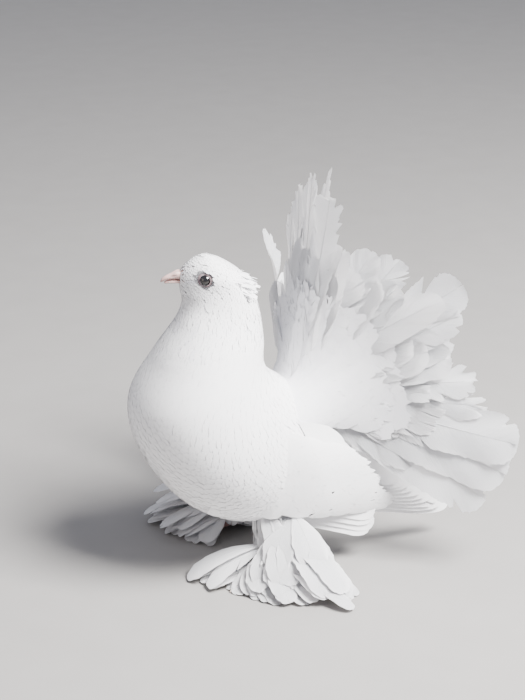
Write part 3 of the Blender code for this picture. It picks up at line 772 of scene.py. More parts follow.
@dataclass(frozen=True)
class Quill:
    """Form of a long feather: a shaft with a vane on each side that may part, curl and fray.

    Shares are of the feather's length, angles are in degrees and the rest is in mm.
    """

    length: float
    width: float
    tip: Tip = Tip.ROUND
    bare: float = 0.06
    widest: float = 0.4
    bow: float = 0.0
    curl: float = 0.0
    sway: float = 0.0
    twist: float = 0.0
    camber: float = 0.02
    group: float = 18.0
    splits: float = 0.25
    split_angle: float = 9.0
    ragged: float = 0.02
    wave: float = 0.4
    wave_length: float = 45.0
    slant: float = 42.0
    thickness: float = 0.3
    shaft: float = 0.7
    row_step: float = 4.0
    columns: int = 5
    tint: float = 0.12
    softness: float = 0.3
    tears: int = 0
    tear_depth: float = 0.22

    def shaft_length(self) -> float:
        """Length of the shaft, which ends a little before the vane does."""
        return self.length - min(0.3 * self.tip.value * self.width, 0.3 * self.length)

    def edge(self, t: Array) -> tuple[Array, Array]:
        """How far across and ahead of its root the barb that starts at t reaches."""
        half, shaft = self.width / 2, self.shaft_length()
        rounded = min(half * self.tip.value * 1.6, 0.5 * self.length)
        forward = half / math.tan(math.radians(self.slant))
        begin = max((self.length - rounded - forward) / shaft, 0.35)
        rise = np.sin(np.pi / 2 * np.clip((t - self.bare) / (self.widest - self.bare), 0, 1))
        turn = np.clip((t - begin) / (1 - begin), 0, 1) * np.pi / 2
        across = half * (0.06 + 0.94 * rise) * np.cos(turn) ** 0.75
        plain = forward * across / half
        last = self.length - rounded * (1 - np.sin(turn)) - t * shaft
        ahead = np.where(t < begin, plain, np.maximum(last, 0.02 * self.length))
        return across, ahead

    def build(self, batch: Batch, root: Array, way: Array, normal: Array, bake: Array,
              rng: np.random.Generator, cell: float = PATCH) -> None:
        """Adds the feather to a batch.

        Args:
            batch: Where it goes.
            root: Start of its shaft.
            way: Direction of its shaft.
            normal: Direction that its upper face looks in.
            bake: Corner of its patch on the bake map.
            rng: Source of its small irregularities.
            cell: Size of that patch.
        """
        way = unit(way)
        side = unit(np.cross(way, normal))
        axes = (way, side, np.cross(side, way))
        phase = rng.uniform(0, 2 * np.pi)
        for sign in (-1, 1):
            ends = [self.bare]
            while ends[-1] < 0.999:
                shrink = 1 - 0.5 * float(smooth(ends[-1], 0.6, 0.95))
                step = shrink * self.group * rng.uniform(0.7, 1.4) / self.shaft_length()
                end = ends[-1] + max(step, 0.03)
                ends.append(1.0 if end > 1 - 0.5 * step else end)
            parted = rng.random(len(ends)) < self.splits * (np.array(ends) > 0.35)
            angles = np.radians(self.split_angle * rng.uniform(0.4, 1.3, len(ends))) * parted
            tears = np.stack([1 - 0.6 * rng.random(self.tears) ** 1.5, rng.uniform(0.01, 0.035, self.tears),
                              self.tear_depth * rng.uniform(0.3, 1.6, self.tears)])
            for k, span in enumerate(zip(ends, ends[1:])):
                lean = (angles[k], angles[k + 1])
                self.barbs(batch, root, axes, span, sign, lean, tears, phase, bake, rng, cell)
        t = np.linspace(0, 1, 12)
        points = self.placed(root, axes, t, 0 * t, 0 * t, np.full(12, 0.1))
        batch.tube(points, self.shaft * (1 - 0.85 * t), bake, self.tint + 0.1, 5, 0.8)

    def placed(self, root: Array, axes: tuple[Array, Array, Array], t: Array, across: Array, ahead: Array,
               rise: Array) -> Array:
        """Points at t along the bent shaft, moved across, ahead and off the vane's face."""
        way, side, face = axes
        share = t + ahead / self.length
        turn = np.radians(self.twist) * share**2
        lateral = across * np.cos(turn) - rise * np.sin(turn) + self.length * self.sway * share**2
        lifted = across * np.sin(turn) + rise * np.cos(turn)
        lifted = lifted + self.length * (self.bow * 4 * share * (1 - share) + self.curl * share**3)
        along = self.shaft_length() * t + ahead
        return root + along[..., None] * way + lateral[..., None] * side + lifted[..., None] * face

    def barbs(self, batch: Batch, root: Array, axes: tuple[Array, Array, Array], span: tuple[float, float],
              sign: int, splay: tuple[float, float], tears: Array, phase: float, bake: Array,
              rng: np.random.Generator, cell: float) -> None:
        """Adds one stretch of a vane, a thin closed plate from the shaft out to the edge."""
        rows = 2 + int((span[1] - span[0]) * self.length / self.row_step)
        t = np.linspace(*span, rows)[:, None]
        w = np.linspace(0, 1, self.columns)[None, :]
        share = (t - span[0]) / (span[1] - span[0])
        across, ahead = self.edge(t)
        size = 1 + np.clip(rng.normal(0, self.ragged, t.shape), -0.3, 2 * self.ragged) * w**3
        for place, width, depth in tears.T:
            size = size - depth * np.clip(1 - np.abs(t - place) / width, 0, 1) * w**2
        size = np.maximum(size, 0.4)
        across, ahead = across * w**0.9 * size, ahead * (0.8 * w + 0.2 * w**2) * size
        lean = (splay[0] / 2 * (1 - share) ** 2 - splay[1] / 2 * share**2) * w
        cos, sin = np.cos(lean), np.sin(lean)
        across, ahead = across * cos - ahead * sin, ahead * cos + across * sin
        ripple = phase + 2 * np.pi * t * self.length / self.wave_length + 1.6 * sign * w
        wave = self.wave * np.sin(ripple) * w
        rise = -self.camber * across**1.4 + wave + 0.25 * (splay[0] > 0) * (1 - share) * w
        points = self.placed(root, axes, t + 0 * w, sign * across, ahead, rise)
        order = slice(None) if sign > 0 else slice(None, None, -1)
        points = points[:, order]
        own = unit(np.cross(np.gradient(points, axis=1), np.gradient(points, axis=0)))
        normals = unit(own * (1 - self.softness) + axes[2] * self.softness)
        vane = np.stack([across, t * self.length + 0 * across], -1)[:, order] / 100
        local = np.stack([0.5 + 0.48 * sign * w + 0 * t, 0.02 + 0.96 * t + 0 * w], -1)[:, order]
        thick = (self.thickness * (1 - 0.7 * w) + 0 * t)[:, order]
        # Painted shade: each vane is darker towards its root, where the feathers over it would shade it.
        tint = self.tint + rng.normal(0, 0.01) + 0.10 * (1 - smooth(t, 0.0, 0.4)) + 0 * w
        tint = np.clip(tint, 0, 1)[:, order]
        batch.plates(*(part[None] for part in (points, normals, thick, vane, bake + local * cell, tint)))


@dataclass(frozen=True)
class Eye:
    """One eye with its lids."""

    side: Side
    radius: float = 3.9
    clear: float = 5.3
    lid_radius: float = 4.3
    lid_width: float = 0.95

    @property
    def centre(self) -> Array:
        """Centre of the eyeball, from the node that the solids have for it."""
        low, high = (np.array(corner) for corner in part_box(f"eye_{self.side.word}"))
        return ((low + high) / 2 - FRAME.shift) / MM

    @property
    def outward(self) -> Array:
        """Direction in which the eye looks."""
        return FLESH.head_way(-0.28, self.side.value * 0.95, 0.12)

    def axes(self) -> tuple[Array, Array]:
        """Two directions across the eye: forwards, and up."""
        upward = np.array([0.0, 0.0, 1.0])
        forward = unit(np.cross(upward, self.outward)) * self.side.value
        return forward, unit(np.cross(self.outward, forward)) * self.side.value

    def ball(self) -> bpy.types.Object:
        """The eyeball, marked from its pupil outwards."""
        batch = Batch(f"eyeball_{self.side.word}")
        rows, columns = 40, 48
        polar = np.linspace(0.02, np.pi - 0.02, rows)[:, None]
        turn = 2 * np.pi * np.arange(columns)[None] / columns
        forward, upward = self.axes()
        forward, upward = forward[None, None], upward[None, None]
        flat = forward * (np.sin(polar) * np.cos(turn))[..., None]
        flat = flat + upward * (np.sin(polar) * np.sin(turn))[..., None]
        grid = self.centre + self.radius * (flat + self.outward * np.cos(polar)[..., None])
        bake = np.stack([turn / (2 * np.pi) + 0 * polar, polar / np.pi + 0 * turn], -1)
        if np.dot(np.cross(forward[0, 0], upward[0, 0]), self.outward) > 0:
            grid, bake = grid[:, ::-1], bake[:, ::-1]
        batch.surface(grid, bake, polar / np.pi + 0 * turn)
        return batch.mesh(Eyeball())

    def lids(self) -> bpy.types.Object:
        """The ring of bare skin round the eye, a little longer than it is high."""
        batch = Batch(f"lids_{self.side.word}")
        forward, upward = self.axes()
        turns = 2 * np.pi * np.arange(64) / 64
        section = 2 * np.pi * np.arange(10) / 10
        reach = self.lid_radius * (1 + 0.05 * np.cos(2 * turns) + 0.03 * np.cos(turns))
        out = forward * np.cos(turns)[:, None] + upward * np.sin(turns)[:, None]
        fold = 1 + 0.18 * np.cos(9 * turns + 1.0) * np.cos(4 * turns)
        ring = (reach - self.lid_width * 0.4)[:, None] + self.lid_width * np.cos(section)[None]
        height = 1.15 + 0.5 * fold[:, None] * np.sin(section)[None] - 0.28 * (ring - self.radius)
        grid = self.centre + out[:, None] * ring[..., None] + self.outward * height[..., None]
        grid = np.concatenate([grid, grid[:1]])
        if self.side is Side.LEFT:
            grid = grid[:, ::-1]
        share = np.linspace(0, 1, 65)[:, None]
        bake = np.stack([share + 0 * section[None], section[None] / 7 + 0 * share], -1)
        front = np.cos(np.linspace(0, 2 * np.pi, 65))[:, None]
        batch.surface(grid, bake, 0.15 + 0.5 * np.clip(front, 0, 1) ** 4 + 0 * section[None])
        return batch.mesh(LID)


@dataclass(frozen=True)
class BillParts:
    """The bill: two halves, the cere's chalky lobes and the nostrils under them."""

    upper: tuple[tuple[float, ...], ...] = (
        (-40, 203.8, 4.6, 3.0),
        (-46, 203.7, 3.9, 2.5),
        (-50, 203.1, 3.1, 2.0),
        (-54, 202.0, 2.3, 1.7),
        (-57, 200.4, 1.4, 1.3),
        (-58.2, 199.2, 0.5, 0.5),
    )
    lower: tuple[tuple[float, ...], ...] = (
        (-40, 199.3, 4.0, 1.5),
        (-46, 199.5, 3.4, 1.3),
        (-50, 199.4, 2.7, 1.2),
        (-53.5, 199.0, 1.8, 1.0),
        (-55.8, 198.5, 0.7, 0.6),
    )
    cere_x: float = -47.5
    nostril_x: float = -50.0
    clear: tuple[float, float, float] = (5.0, 4.6, 4.8)

    @property
    def root(self) -> Array:
        """Where the bill leaves the face."""
        return FLESH.head_point(-47.5, 0, 202)

    def half(self, name: str, table: tuple[tuple[float, ...], ...], cere: float) -> bpy.types.Object:
        """One half of the bill, smoothed from its table, with the cere raised on it.

        Args:
            name: Name of the piece.
            table: Rings as x, z, half width and half height.
            cere: Height of the cere's lobes, 0 for none.

        Returns:
            The piece.
        """
        keys = np.array(table, float)
        t = np.linspace(0, len(keys) - 1, 44)
        low = np.clip(np.floor(t).astype(int), 0, len(keys) - 2)
        f = (t - low)[:, None]
        before, after = keys[np.maximum(low - 1, 0)], keys[np.minimum(low + 2, len(keys) - 1)]
        start, end = keys[low], keys[low + 1]
        ring = start + 0.5 * f * (end - before + f * (2 * before - 5 * start + 4 * end - after
                                                     + f * (3 * (start - end) + after - before)))
        a = 2 * np.pi * np.arange(36) / 36
        x, z, half, rise = (ring[:, k][:, None] for k in range(4))
        aside = np.abs(wrap(a))[None]
        lobe = np.exp(-(((x - self.cere_x) / 3.0) ** 2)) * np.exp(-(((aside - 0.75) / 0.42) ** 2))
        slit = np.exp(-(((x - self.nostril_x) / 1.6) ** 2)) * np.exp(-(((aside - 1.25) / 0.13) ** 2))
        grown = cere * lobe - (0.7 * slit if cere else 0)
        y = (half + grown) * np.sin(a)[None]
        height = z + (rise + grown) * np.cos(a)[None]
        grid = spun(np.stack([x + 0 * y, y, height], -1), FLESH.head_yaw, FLESH.yaw_x)
        # The tint darkens the bill towards its tip and pales the cere's lobes; its dark nostril slit is
        # painted shade in the groove.
        tint = 0.35 + 0.3 * smooth(-x, 50, 58) - 0.35 * (lobe if cere else 0) + (0.9 * slit if cere else 0)
        bake = np.stack([a[None] / (2 * np.pi) + 0 * x, np.linspace(0, 1, 44)[:, None] + 0 * y], -1)
        batch = Batch(name)
        batch.surface(grid, bake, np.clip(tint, 0, 1))
        return batch.mesh(BILL, soft=False)

    def build(self) -> list[bpy.types.Object]:
        """Both halves of the bill."""
        upper = self.half("bill_upper_fine", self.upper, 1.15)
        lower = self.half("bill_lower_fine", self.lower, 0.0)
        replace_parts(upper, "bill_upper")
        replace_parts(lower, "bill_lower")
        return [upper, lower]


def wrap(angle: Array) -> Array:
    """Angles brought to between minus and plus half a turn."""
    return (angle + np.pi) % (2 * np.pi) - np.pi


@dataclass(frozen=True)
class BodySkin:
    """One smooth skin under torso, neck and head."""

    depth: float = -2.3
    rows: int = 150
    columns: int = 72

    def build(self) -> bpy.types.Object:
        """Makes the skin, closed at rump and crown."""
        place = np.linspace(0, len(FLESH.stations) - 1, self.rows)[:, None]
        angle = 2 * np.pi * np.arange(self.columns)[None] / self.columns
        grid = FLESH.point(place, angle, self.depth)
        caps = []
        for end in (0, -1):
            middle = grid[end].mean(0)
            caps.append([middle + (grid[end] - middle) * share for share in (0.02, 0.5)])
        grid = np.concatenate([np.stack(caps[0]), grid, np.stack(caps[1][::-1])])
        rows = len(grid)
        bake = np.stack([angle / (2 * np.pi) + 0 * np.arange(rows)[:, None],
                         np.linspace(0, 1, rows)[:, None] + 0 * angle], -1)
        batch = Batch("skin")
        batch.surface(grid, bake, 0.15 + head_marks(grid))
        skin = batch.mesh(SKIN, soft=False)
        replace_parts(skin, "torso", "neck", "head")
        return skin


@dataclass(frozen=True)
class Crest:
    """The ragged peak of feathers at the back of the head."""

    rows: tuple[tuple[float, ...], ...] = (
        (-20, 208.3, -0.30, 17, 7),
        (-17, 206.5, -0.26, 19, 8),
        (-13, 203.5, -0.30, 18.5, 9),
        (-11, 200.5, -0.34, 17.5, 9),
        (-9, 197, -0.42, 15.5, 9),
        (-8, 193.5, -0.50, 13, 8),
        (-7, 190, -0.62, 10.5, 7),
    )
    half_width: float = 9.5
    seed: int = 31

    def build(self) -> bpy.types.Object:
        """Makes the crest's feathers in rows, each over the one below."""
        rng = np.random.default_rng(self.seed)
        batch = Batch("crest")
        for row, (x, z, slope, length, count) in enumerate(self.rows):
            for k in range(int(count)):
                across = 2 * k / (count - 1) - 1
                root = FLESH.head_point(x - 1.5 * across**2, self.half_width * across * 0.85,
                                        z - 2.2 * across**2)
                way = FLESH.head_way(1, 0.25 * across + rng.normal(0, 0.06), slope + rng.normal(0, 0.05))
                normal = FLESH.head_way(-slope, 0.6 * across, 1)
                grown = length * rng.uniform(0.86, 1.06) * (1 - 0.10 * across**2)
                quill = Quill(grown, rng.uniform(4.5, 6.0), Tip.POINTED, bow=0.03,
                              curl=rng.normal(0.02, 0.03), group=4.0, splits=0.6,
                              split_angle=16.0, ragged=0.10, wave=0.15, thickness=0.14, shaft=0.22,
                              row_step=2.0, columns=4,
                              tint=float(np.clip(rng.normal(0.22, 0.12), 0, 0.6)))
                bake = np.array([0.3 + 0.4 * k / count, 0.8 + 0.02 * row])
                quill.build(batch, root, way, normal, bake, rng)
        return batch.mesh(COAT)


@dataclass(frozen=True)
class Fan:
    """One half of the tail: long feathers set fanwise at one root, with coverts before and behind."""

    side: Side
    root: tuple[float, float, float] = (33, 0, 120)
    lean: float = math.radians(9.0)
    spacing: float = 8.0
    first: float = 4.2
    tilt: float = 0.18
    curled: tuple = ((88.0, 48.0, 34.0, 15.0, 0.32), (72.0, 62.0, 22.0, 11.0, 0.25),
                     (103.0, 56.0, 26.0, 12.0, 0.2))
    quill_start: float = 9.0
    covert_start: float = 5.0
    covert_length: float = 130.0
    covert_tiers: tuple = ((1, 0.66, 27, 1.6), (-1, 0.62, 26, 2.0), (-1, 0.44, 24, 4.0), (-1, 0.30, 22, 6.0))
    curled_stand: float = 7.0
    curled_lean: float = 0.1
    sweeps: dict = field(default_factory=lambda: {
        Side.LEFT: ((0, 4), (8, 21), (20, 39), (40, 51), (60, 55), (120, 57)),
        Side.RIGHT: ((0, 4), (10, 8), (72, 8), (86, 38), (110, 45)),
    })
    lengths: dict = field(default_factory=lambda: {
        Side.LEFT: (135, 106, 111, 116, 103, 121, 135, 124, 111, 107, 121, 128, 152, 151, 147),
        Side.RIGHT: (148, 141, 140, 138, 137, 135, 62, 62, 152, 120, 122, 126),
    })
    width: float = 25.0
    styles: dict = field(default_factory=lambda: {
        Side.LEFT: {
            0: {"tears": 9, "row_step": 2.0, "group": 30.0},
            1: {"tip": Tip.BLUNT, "tears": 4, "row_step": 2.0, "width": 23.0},
            2: {"wave": 0.35, "wave_length": 10.0, "width": 24.0, "row_step": 2.0, "tears": 2},
            3: {"wave": 0.5, "wave_length": 17.0, "row_step": 2.0},
            5: {"tip": Tip.POINTED, "curl": 0.06, "sway": 0.09, "width": 27.0, "tears": 0},
            6: {"group": 45.0, "splits": 1.0, "split_angle": 15.0, "bare": 0.3, "widest": 0.75,
                "width": 31.0, "tears": 1, "tear_depth": 0.6, "row_step": 2.0},
            8: {"tears": 3, "row_step": 2.5},
            9: {"tears": 4, "row_step": 2.5},
            10: {"tears": 5, "row_step": 2.0},
            11: {"tip": Tip.POINTED, "tears": 8, "row_step": 2.0},
            **{index: {"tip": Tip.BLUNT, "splits": 0.1, "twist": 0.0, "curl": 0.0, "sway": 0.0,
                       "width": 35.0, "tears": 1, "row_step": 2.0}
               for index in (12, 13, 14)},
        },
        Side.RIGHT: {
            **{index: {"tears": 7, "row_step": 2.0, "tear_depth": 0.3, "width": 22.0 - 2 * index}
               for index in range(6)},
            8: {"width": 27.0, "bare": 0.3, "widest": 0.93, "tip": Tip.BLUNT, "splits": 0.6, "twist": 58.0,
                "tears": 2, "tear_depth": 0.45, "row_step": 2.0},
        },
    })

    def way(self, bearing: Array) -> Array:
        """Direction of the feather at a bearing from the fan's middle line."""
        bearing = np.asarray(bearing, float)
        sweep = np.radians(np.interp(bearing, *zip(*self.sweeps[self.side])))
        upward = np.array([math.sin(self.lean), 0, math.cos(self.lean)])
        sideways = np.stack([np.sin(sweep), self.side.value * np.cos(sweep), 0 * sweep], -1)
        turn = np.radians(bearing)[..., None]
        return unit(upward * np.cos(turn) + sideways * np.sin(turn))

    def normal(self, bearing: Array, tilt: float | None = None) -> Array:
        """Forward normal of the fan at a bearing, tilted over the next feather."""
        run = self.way(bearing + 2) - self.way(bearing - 2)
        normal = unit(np.cross(self.way(bearing), run))
        normal = normal * np.where(normal[..., :1] > 0, -1, 1)
        return unit(normal - unit(run) * (self.tilt if tilt is None else tilt))

    def build(self) -> bpy.types.Object:
        """Makes the half fan."""
        rng = np.random.default_rng(50 + self.side.value)
        batch = Batch(f"fan_{self.side.word}")
        root = np.array(self.root, float)
        lengths = self.lengths[self.side]
        grid = math.ceil(math.sqrt(len(lengths) * (1 + len(self.covert_tiers)) + len(self.curled)))
        number = 0
        for index, length in enumerate(lengths):
            bearing = self.first + self.spacing * index
            tip = (Tip.BLUNT, Tip.ROUND, Tip.ROUND)[index % 3]
            # Painted shade: the long feathers' tint of 0.24 paints the fan greyer than the lit wing.
            quill = Quill(length - self.quill_start, self.width * rng.uniform(0.95, 1.1), tip, widest=0.45,
                          bow=0.01, curl=rng.normal(0, 0.03), sway=rng.normal(0, 0.02),
                          twist=rng.normal(0, 12), camber=0.012, group=rng.uniform(14, 24), wave=1.1,
                          shaft=0.8, columns=7, tears=3, tear_depth=0.32, tint=0.24)
            quill = replace(quill, **self.styles[self.side].get(index, {}))
            cell = np.array([number % grid, number // grid]) / grid
            way = self.way(bearing)
            start = root + way * self.quill_start
            quill.build(batch, start, way, self.normal(bearing), cell + 0.005, rng, 0.9 / grid)
            number += 1
        for tier, (facing, share, width, forward) in enumerate(self.covert_tiers):
            for index in range(len(lengths)):
                bearing = self.first + self.spacing * (index + 0.5 * (tier % 2) + rng.uniform(-0.3, 0.3))
                way, normal = self.way(bearing), self.normal(bearing) * facing
                length = min(self.covert_length * share * rng.uniform(0.85, 1.12), lengths[index] * 0.8)
                tip = (Tip.ROUND, Tip.POINTED)[rng.integers(2)]
                # Painted shade: the coverts' tint of 0.28 paints them greyer still.
                quill = Quill(length, width, tip, curl=rng.normal(-0.01, 0.01), camber=0.01, group=14.0,
                              splits=0.3, ragged=0.03, wave=0.6, thickness=0.14, shaft=0.25, softness=0.75,
                              tint=0.28)
                cell = np.array([number % grid, number // grid]) / grid
                start = root + way * self.covert_start + normal * forward * 0.8
                quill.build(batch, start, way + normal * 0.02, normal, cell + 0.005, rng, 0.9 / grid)
                number += 1
        for bearing, start, length, width, curl in self.curled if self.side is Side.LEFT else ():
            way, normal = self.way(bearing), self.normal(bearing) * -1
            quill = Quill(length, width, Tip.POINTED, curl=curl, sway=0.12, camber=0.03, group=16.0,
                          splits=0.4, thickness=0.14, shaft=0.3, row_step=2.0, tint=0.02, softness=0.5)
            cell = np.array([number % grid, number // grid]) / grid
            foot = root + way * start + normal * self.curled_stand
            quill.build(batch, foot, way + normal * self.curled_lean, normal, cell + 0.005, rng, 0.9 / grid)
            number += 1
        fan = batch.mesh(VANE)
        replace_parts(fan, f"tail_{self.side.word}")
        return fan


@dataclass(frozen=True)
class Vent:
    """Loose coverts in rings round the body's hind end, under the tail."""

    rings: tuple = ((2.6, 24, 26.0), (2.1, 22, 26.0), (1.7, 20, 25.0), (1.3, 18, 24.0), (0.9, 15, 22.0),
                    (0.5, 12, 20.0), (0.2, 9, 16.0), (0.05, 6, 12.0))
    width: float = 13.0
    spread: float = 1.9
    root_depth: float = 1.5
    stand: float = 0.10

    def build(self) -> bpy.types.Object:
        """Makes the coverts as one piece."""
        rng = np.random.default_rng(170)
        batch = Batch("vent")
        for ring, (place, count, length) in enumerate(self.rings):
            for k in range(count):
                angle = 2 * np.pi * (k + 0.5 * (ring % 2)) / count - np.pi
                if place > 0.5 and abs(angle) > self.spread:
                    continue
                where = np.array([place]), np.array([angle])
                root, normal = FLESH.point(*where, -self.root_depth)[0], FLESH.normal(*where)[0]
                way = FLESH.lie(*where)[0] + normal * self.stand + np.array([0, 0, self.stand])
                quill = Quill(length * rng.uniform(0.88, 1.12), self.width, Tip.ROUND, camber=0.03,
                              group=14.0, splits=0.25, ragged=0.03, thickness=0.12, shaft=0.2,
                              row_step=3.0, tint=0.16, softness=0.7, curl=rng.normal(-0.02, 0.02))
                bake = np.array([0.02 + 0.9 * k / count, 0.03 + 0.12 * ring])
                quill.build(batch, root, way, normal, bake, rng, 0.05)
        return batch.mesh(COAT)


@dataclass(frozen=True)
class Slope:
    """A smooth sheet with rows of small soft feathers on it; its children say where it runs."""

    side: Side
    label: str = "slope"
    rows: int = 14
    columns: int = 17
    length: float = 19.0
    width: float = 13.0
    lift: float = 1.1
    tint: float = 0.12
    seed: int = 130
    sheet_cells: int = 26
    sheet_depth: float = 1.1
    sheet_thickness: float = 0.5
    root_depth: float = 1.2

    @property
    def sign(self) -> int:
        """1 where s, r and the outward normal are right-handed, else -1."""
        return -self.side.value

    def point(self, s: Array, r: Array) -> Array:
        """Points of the slope: s runs across it and r along its feathers."""
        raise NotImplementedError

    def slopes(self, s: Array, r: Array) -> tuple[Array, Array, Array]:
        """How the point moves with s and r, and the outward normal."""
        step = 0.01
        by_s = (self.point(s + step, r) - self.point(s - step, r)) / (2 * step)
        by_r = (self.point(s, r + step) - self.point(s, r - step)) / (2 * step)
        normal = unit(np.cross(by_s, by_r)) * self.sign
        return by_s, by_r, normal

    def build(self) -> bpy.types.Object:
        """Makes the slope's sheet and the feathers on it."""
        rng = np.random.default_rng(self.seed + self.side.value)
        batch = Batch(f"{self.label}_{self.side.word}")
        s, r = np.meshgrid(np.linspace(0, 1, self.sheet_cells), np.linspace(0, 0.95, self.sheet_cells))
        s = s if self.sign > 0 else s[:, ::-1]
        _, _, normal = self.slopes(s, r)
        sheet = self.point(s, r) - normal * self.sheet_depth
        flat = np.stack([s, r], -1)
        thick = np.full((1, *s.shape), self.sheet_thickness)
        batch.plates(sheet[None], normal[None], thick, flat[None], flat[None] * 0.3, self.tint)
        row, column = np.meshgrid(np.arange(self.rows), np.arange(self.columns), indexing="ij")
        root_r = 0.92 * (row.ravel() + rng.uniform(-0.3, 0.3, row.size)) / self.rows
        root_s = (column.ravel() + 0.5 * (row.ravel() % 2) + rng.uniform(-0.2, 0.2, row.size)) / self.columns
        by_s, by_r, _ = self.slopes(root_s, root_r)
        along, across = np.linspace(0, 1, 7), np.linspace(-1, 1, 5)
        outline = np.interp(along, (0, 0.3, 0.6, 0.85, 1), (0.4, 0.9, 1, 0.75, 0.3))
        length = self.length * rng.uniform(0.8, 1.2, row.size) * (0.8 + 0.5 * root_r)
        width = self.width * rng.uniform(0.85, 1.15, row.size)
        u = across[None, None] * outline[None, :, None] * width[:, None, None] / 2
        v = along[None, :, None] * length[:, None, None] + 0 * u
        v[:, -1] += length[:, None] * rng.uniform(-0.12, 0.06, (row.size, 5))
        on_s = root_s[:, None, None] + u / np.linalg.norm(by_s, axis=-1)[:, None, None]
        on_r = root_r[:, None, None] + v / np.linalg.norm(by_r, axis=-1)[:, None, None]
        _, _, out = self.slopes(on_s, on_r)
        rise = -self.root_depth + self.lift * v / length[:, None, None] - 0.03 * np.abs(u) ** 1.5
        points = self.point(on_s, on_r) + out * rise[..., None]
        if self.sign < 0:
            points, out, u, v = points[:, :, ::-1], out[:, :, ::-1], u[:, :, ::-1], v[:, :, ::-1]
        own = unit(np.cross(np.gradient(points, axis=2), np.gradient(points, axis=1)))
        vane = np.stack([u, v - np.abs(u)], -1) / 100
        bake = np.clip(np.stack([on_s, on_r], -1), 0, 1) * 0.3 + 0.35
        tint = np.clip(self.tint + rng.normal(0, 0.03, row.size), 0, 1)[:, None, None]
        batch.plates(points, unit(own * 0.2 + out * 0.8), 0.12, vane, bake, tint)
        return batch.mesh(COAT)


@dataclass(frozen=True)
class Rump(Slope):
    """Soft feathers that run from the back and flank up on to the front of the fan."""

    label: str = "rump"
    # Painted shade: the rump's tint of 0.42 paints its feathers lavender grey where the back runs under the
    # fan.
    tint: float = 0.42
    start_place: float = 3.3
    spread: float = 1.1
    bearings: tuple[float, float] = (-2.0, 114.0)
    reach: float = 62.0
    stand: float = 4.5
    start_depth: float = 0.8
    leave_pull: float = 12.0
    arrive_pull: float = 34.0

    def point(self, s: Array, r: Array) -> Array:
        """Points of the slope: s runs outwards from the middle, r from the back up the fan."""
        fan = Fan(self.side)
        bearing = self.bearings[0] + (self.bearings[1] - self.bearings[0]) * s
        angle = np.pi - self.side.value * self.spread * s
        place = np.full(np.shape(angle), self.start_place)
        start = FLESH.point(place, angle, -self.start_depth)
        way = fan.way(bearing)
        end = np.array(fan.root) + way * self.reach + fan.normal(bearing, 0.0) * self.stand
        leave = start + FLESH.lie(place, angle) * self.leave_pull
        arrive = end - way * self.arrive_pull
        r = np.asarray(r)[..., None]
        return (1 - r) ** 3 * start + 3 * (1 - r) ** 2 * r * leave + 3 * (1 - r) * r**2 * arrive + r**3 * end


@dataclass(frozen=True)
class Wing:
    """A folded wing's long feathers: quills, the blunt lower group, and coverts under the mantle."""

    side: Side
    sink: float = 9.0
    sink_in_front: float = 9.0
    nod: float = 0.07
    lift: dict = field(default_factory=lambda: {Side.LEFT: 0, Side.RIGHT: 17})
    tiers: tuple = (
        (((4, 56), (26, 88)), ((140, 22), (98, 54)), 10, 18, -1.6, 1.0),
        (((-6, 52), (2, 62)), ((75, 22), (79, 33)), 4, 15, -0.4, 1.0),
        (((2, 64), (20, 110)), ((88, 40), (52, 84)), 8, 19, -0.4, 0.9),
    )

    def sheet(self, x: Array | float, z: Array | float) -> Array | float:
        """How far from the middle plane the folded wing lies."""
        return 53 - 0.24 * np.maximum(x, 0) - 0.0035 * np.maximum(z - 75, 0) ** 2

    def point(self, x: float, z: float, layer: float) -> Array:
        """A point so far outwards from the wing's sheet."""
        return np.array([x, self.side.value * (self.sheet(x, z) + layer), z])

    def normal(self, x: float, z: float) -> Array:
        """Outward normal of the sheet."""
        back = self.point(x + 1, z, 0) - self.point(x - 1, z, 0)
        upward = self.point(x, z + 1, 0) - self.point(x, z - 1, 0)
        return unit(np.cross(upward, back)) * -self.side.value

    def build(self) -> bpy.types.Object:
        """Makes the wing."""
        rng = np.random.default_rng(70 + self.side.value)
        batch = Batch(f"wing_plumes_{self.side.word}")
        for tier, (roots, tips, count, width, layer, fine) in enumerate(self.tiers):
            for k in range(count):
                share = k / (count - 1)
                root_x, root_z = (a + (b - a) * share for a, b in zip(*roots))
                tip_x, tip_z = (a + (b - a) * share for a, b in zip(*tips))
                tip_z += self.lift[self.side]
                normal = self.normal((root_x + tip_x) / 2, (root_z + tip_z) / 2) - np.array([0, 0, self.nod])
                root = self.point(root_x, root_z, layer - self.sink - self.sink_in_front * (1 - share))
                tip = self.point(tip_x, tip_z, layer)
                length = float(np.linalg.norm(tip - root))
                tip_form = Tip.POINTED if tier == 0 and k < count - 2 else Tip.ROUND
                quill = Quill(length * rng.uniform(0.97, 1.0), width, tip_form, bow=0.035, camber=0.01,
                              group=rng.uniform(20, 30) * fine, splits=0.08, ragged=0.01, wave=0.05,
                              thickness=0.1, shaft=0.25 * fine, tint=0.06, softness=0.92)
                bake = np.array([0.02 + 0.9 * share, 0.05 + 0.14 * tier])
                quill.build(batch, root, tip - root, unit(normal), bake, rng, 0.07)
        wing = batch.mesh(COAT)
        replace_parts(wing, f"wing_{self.side.word}")
        return wing


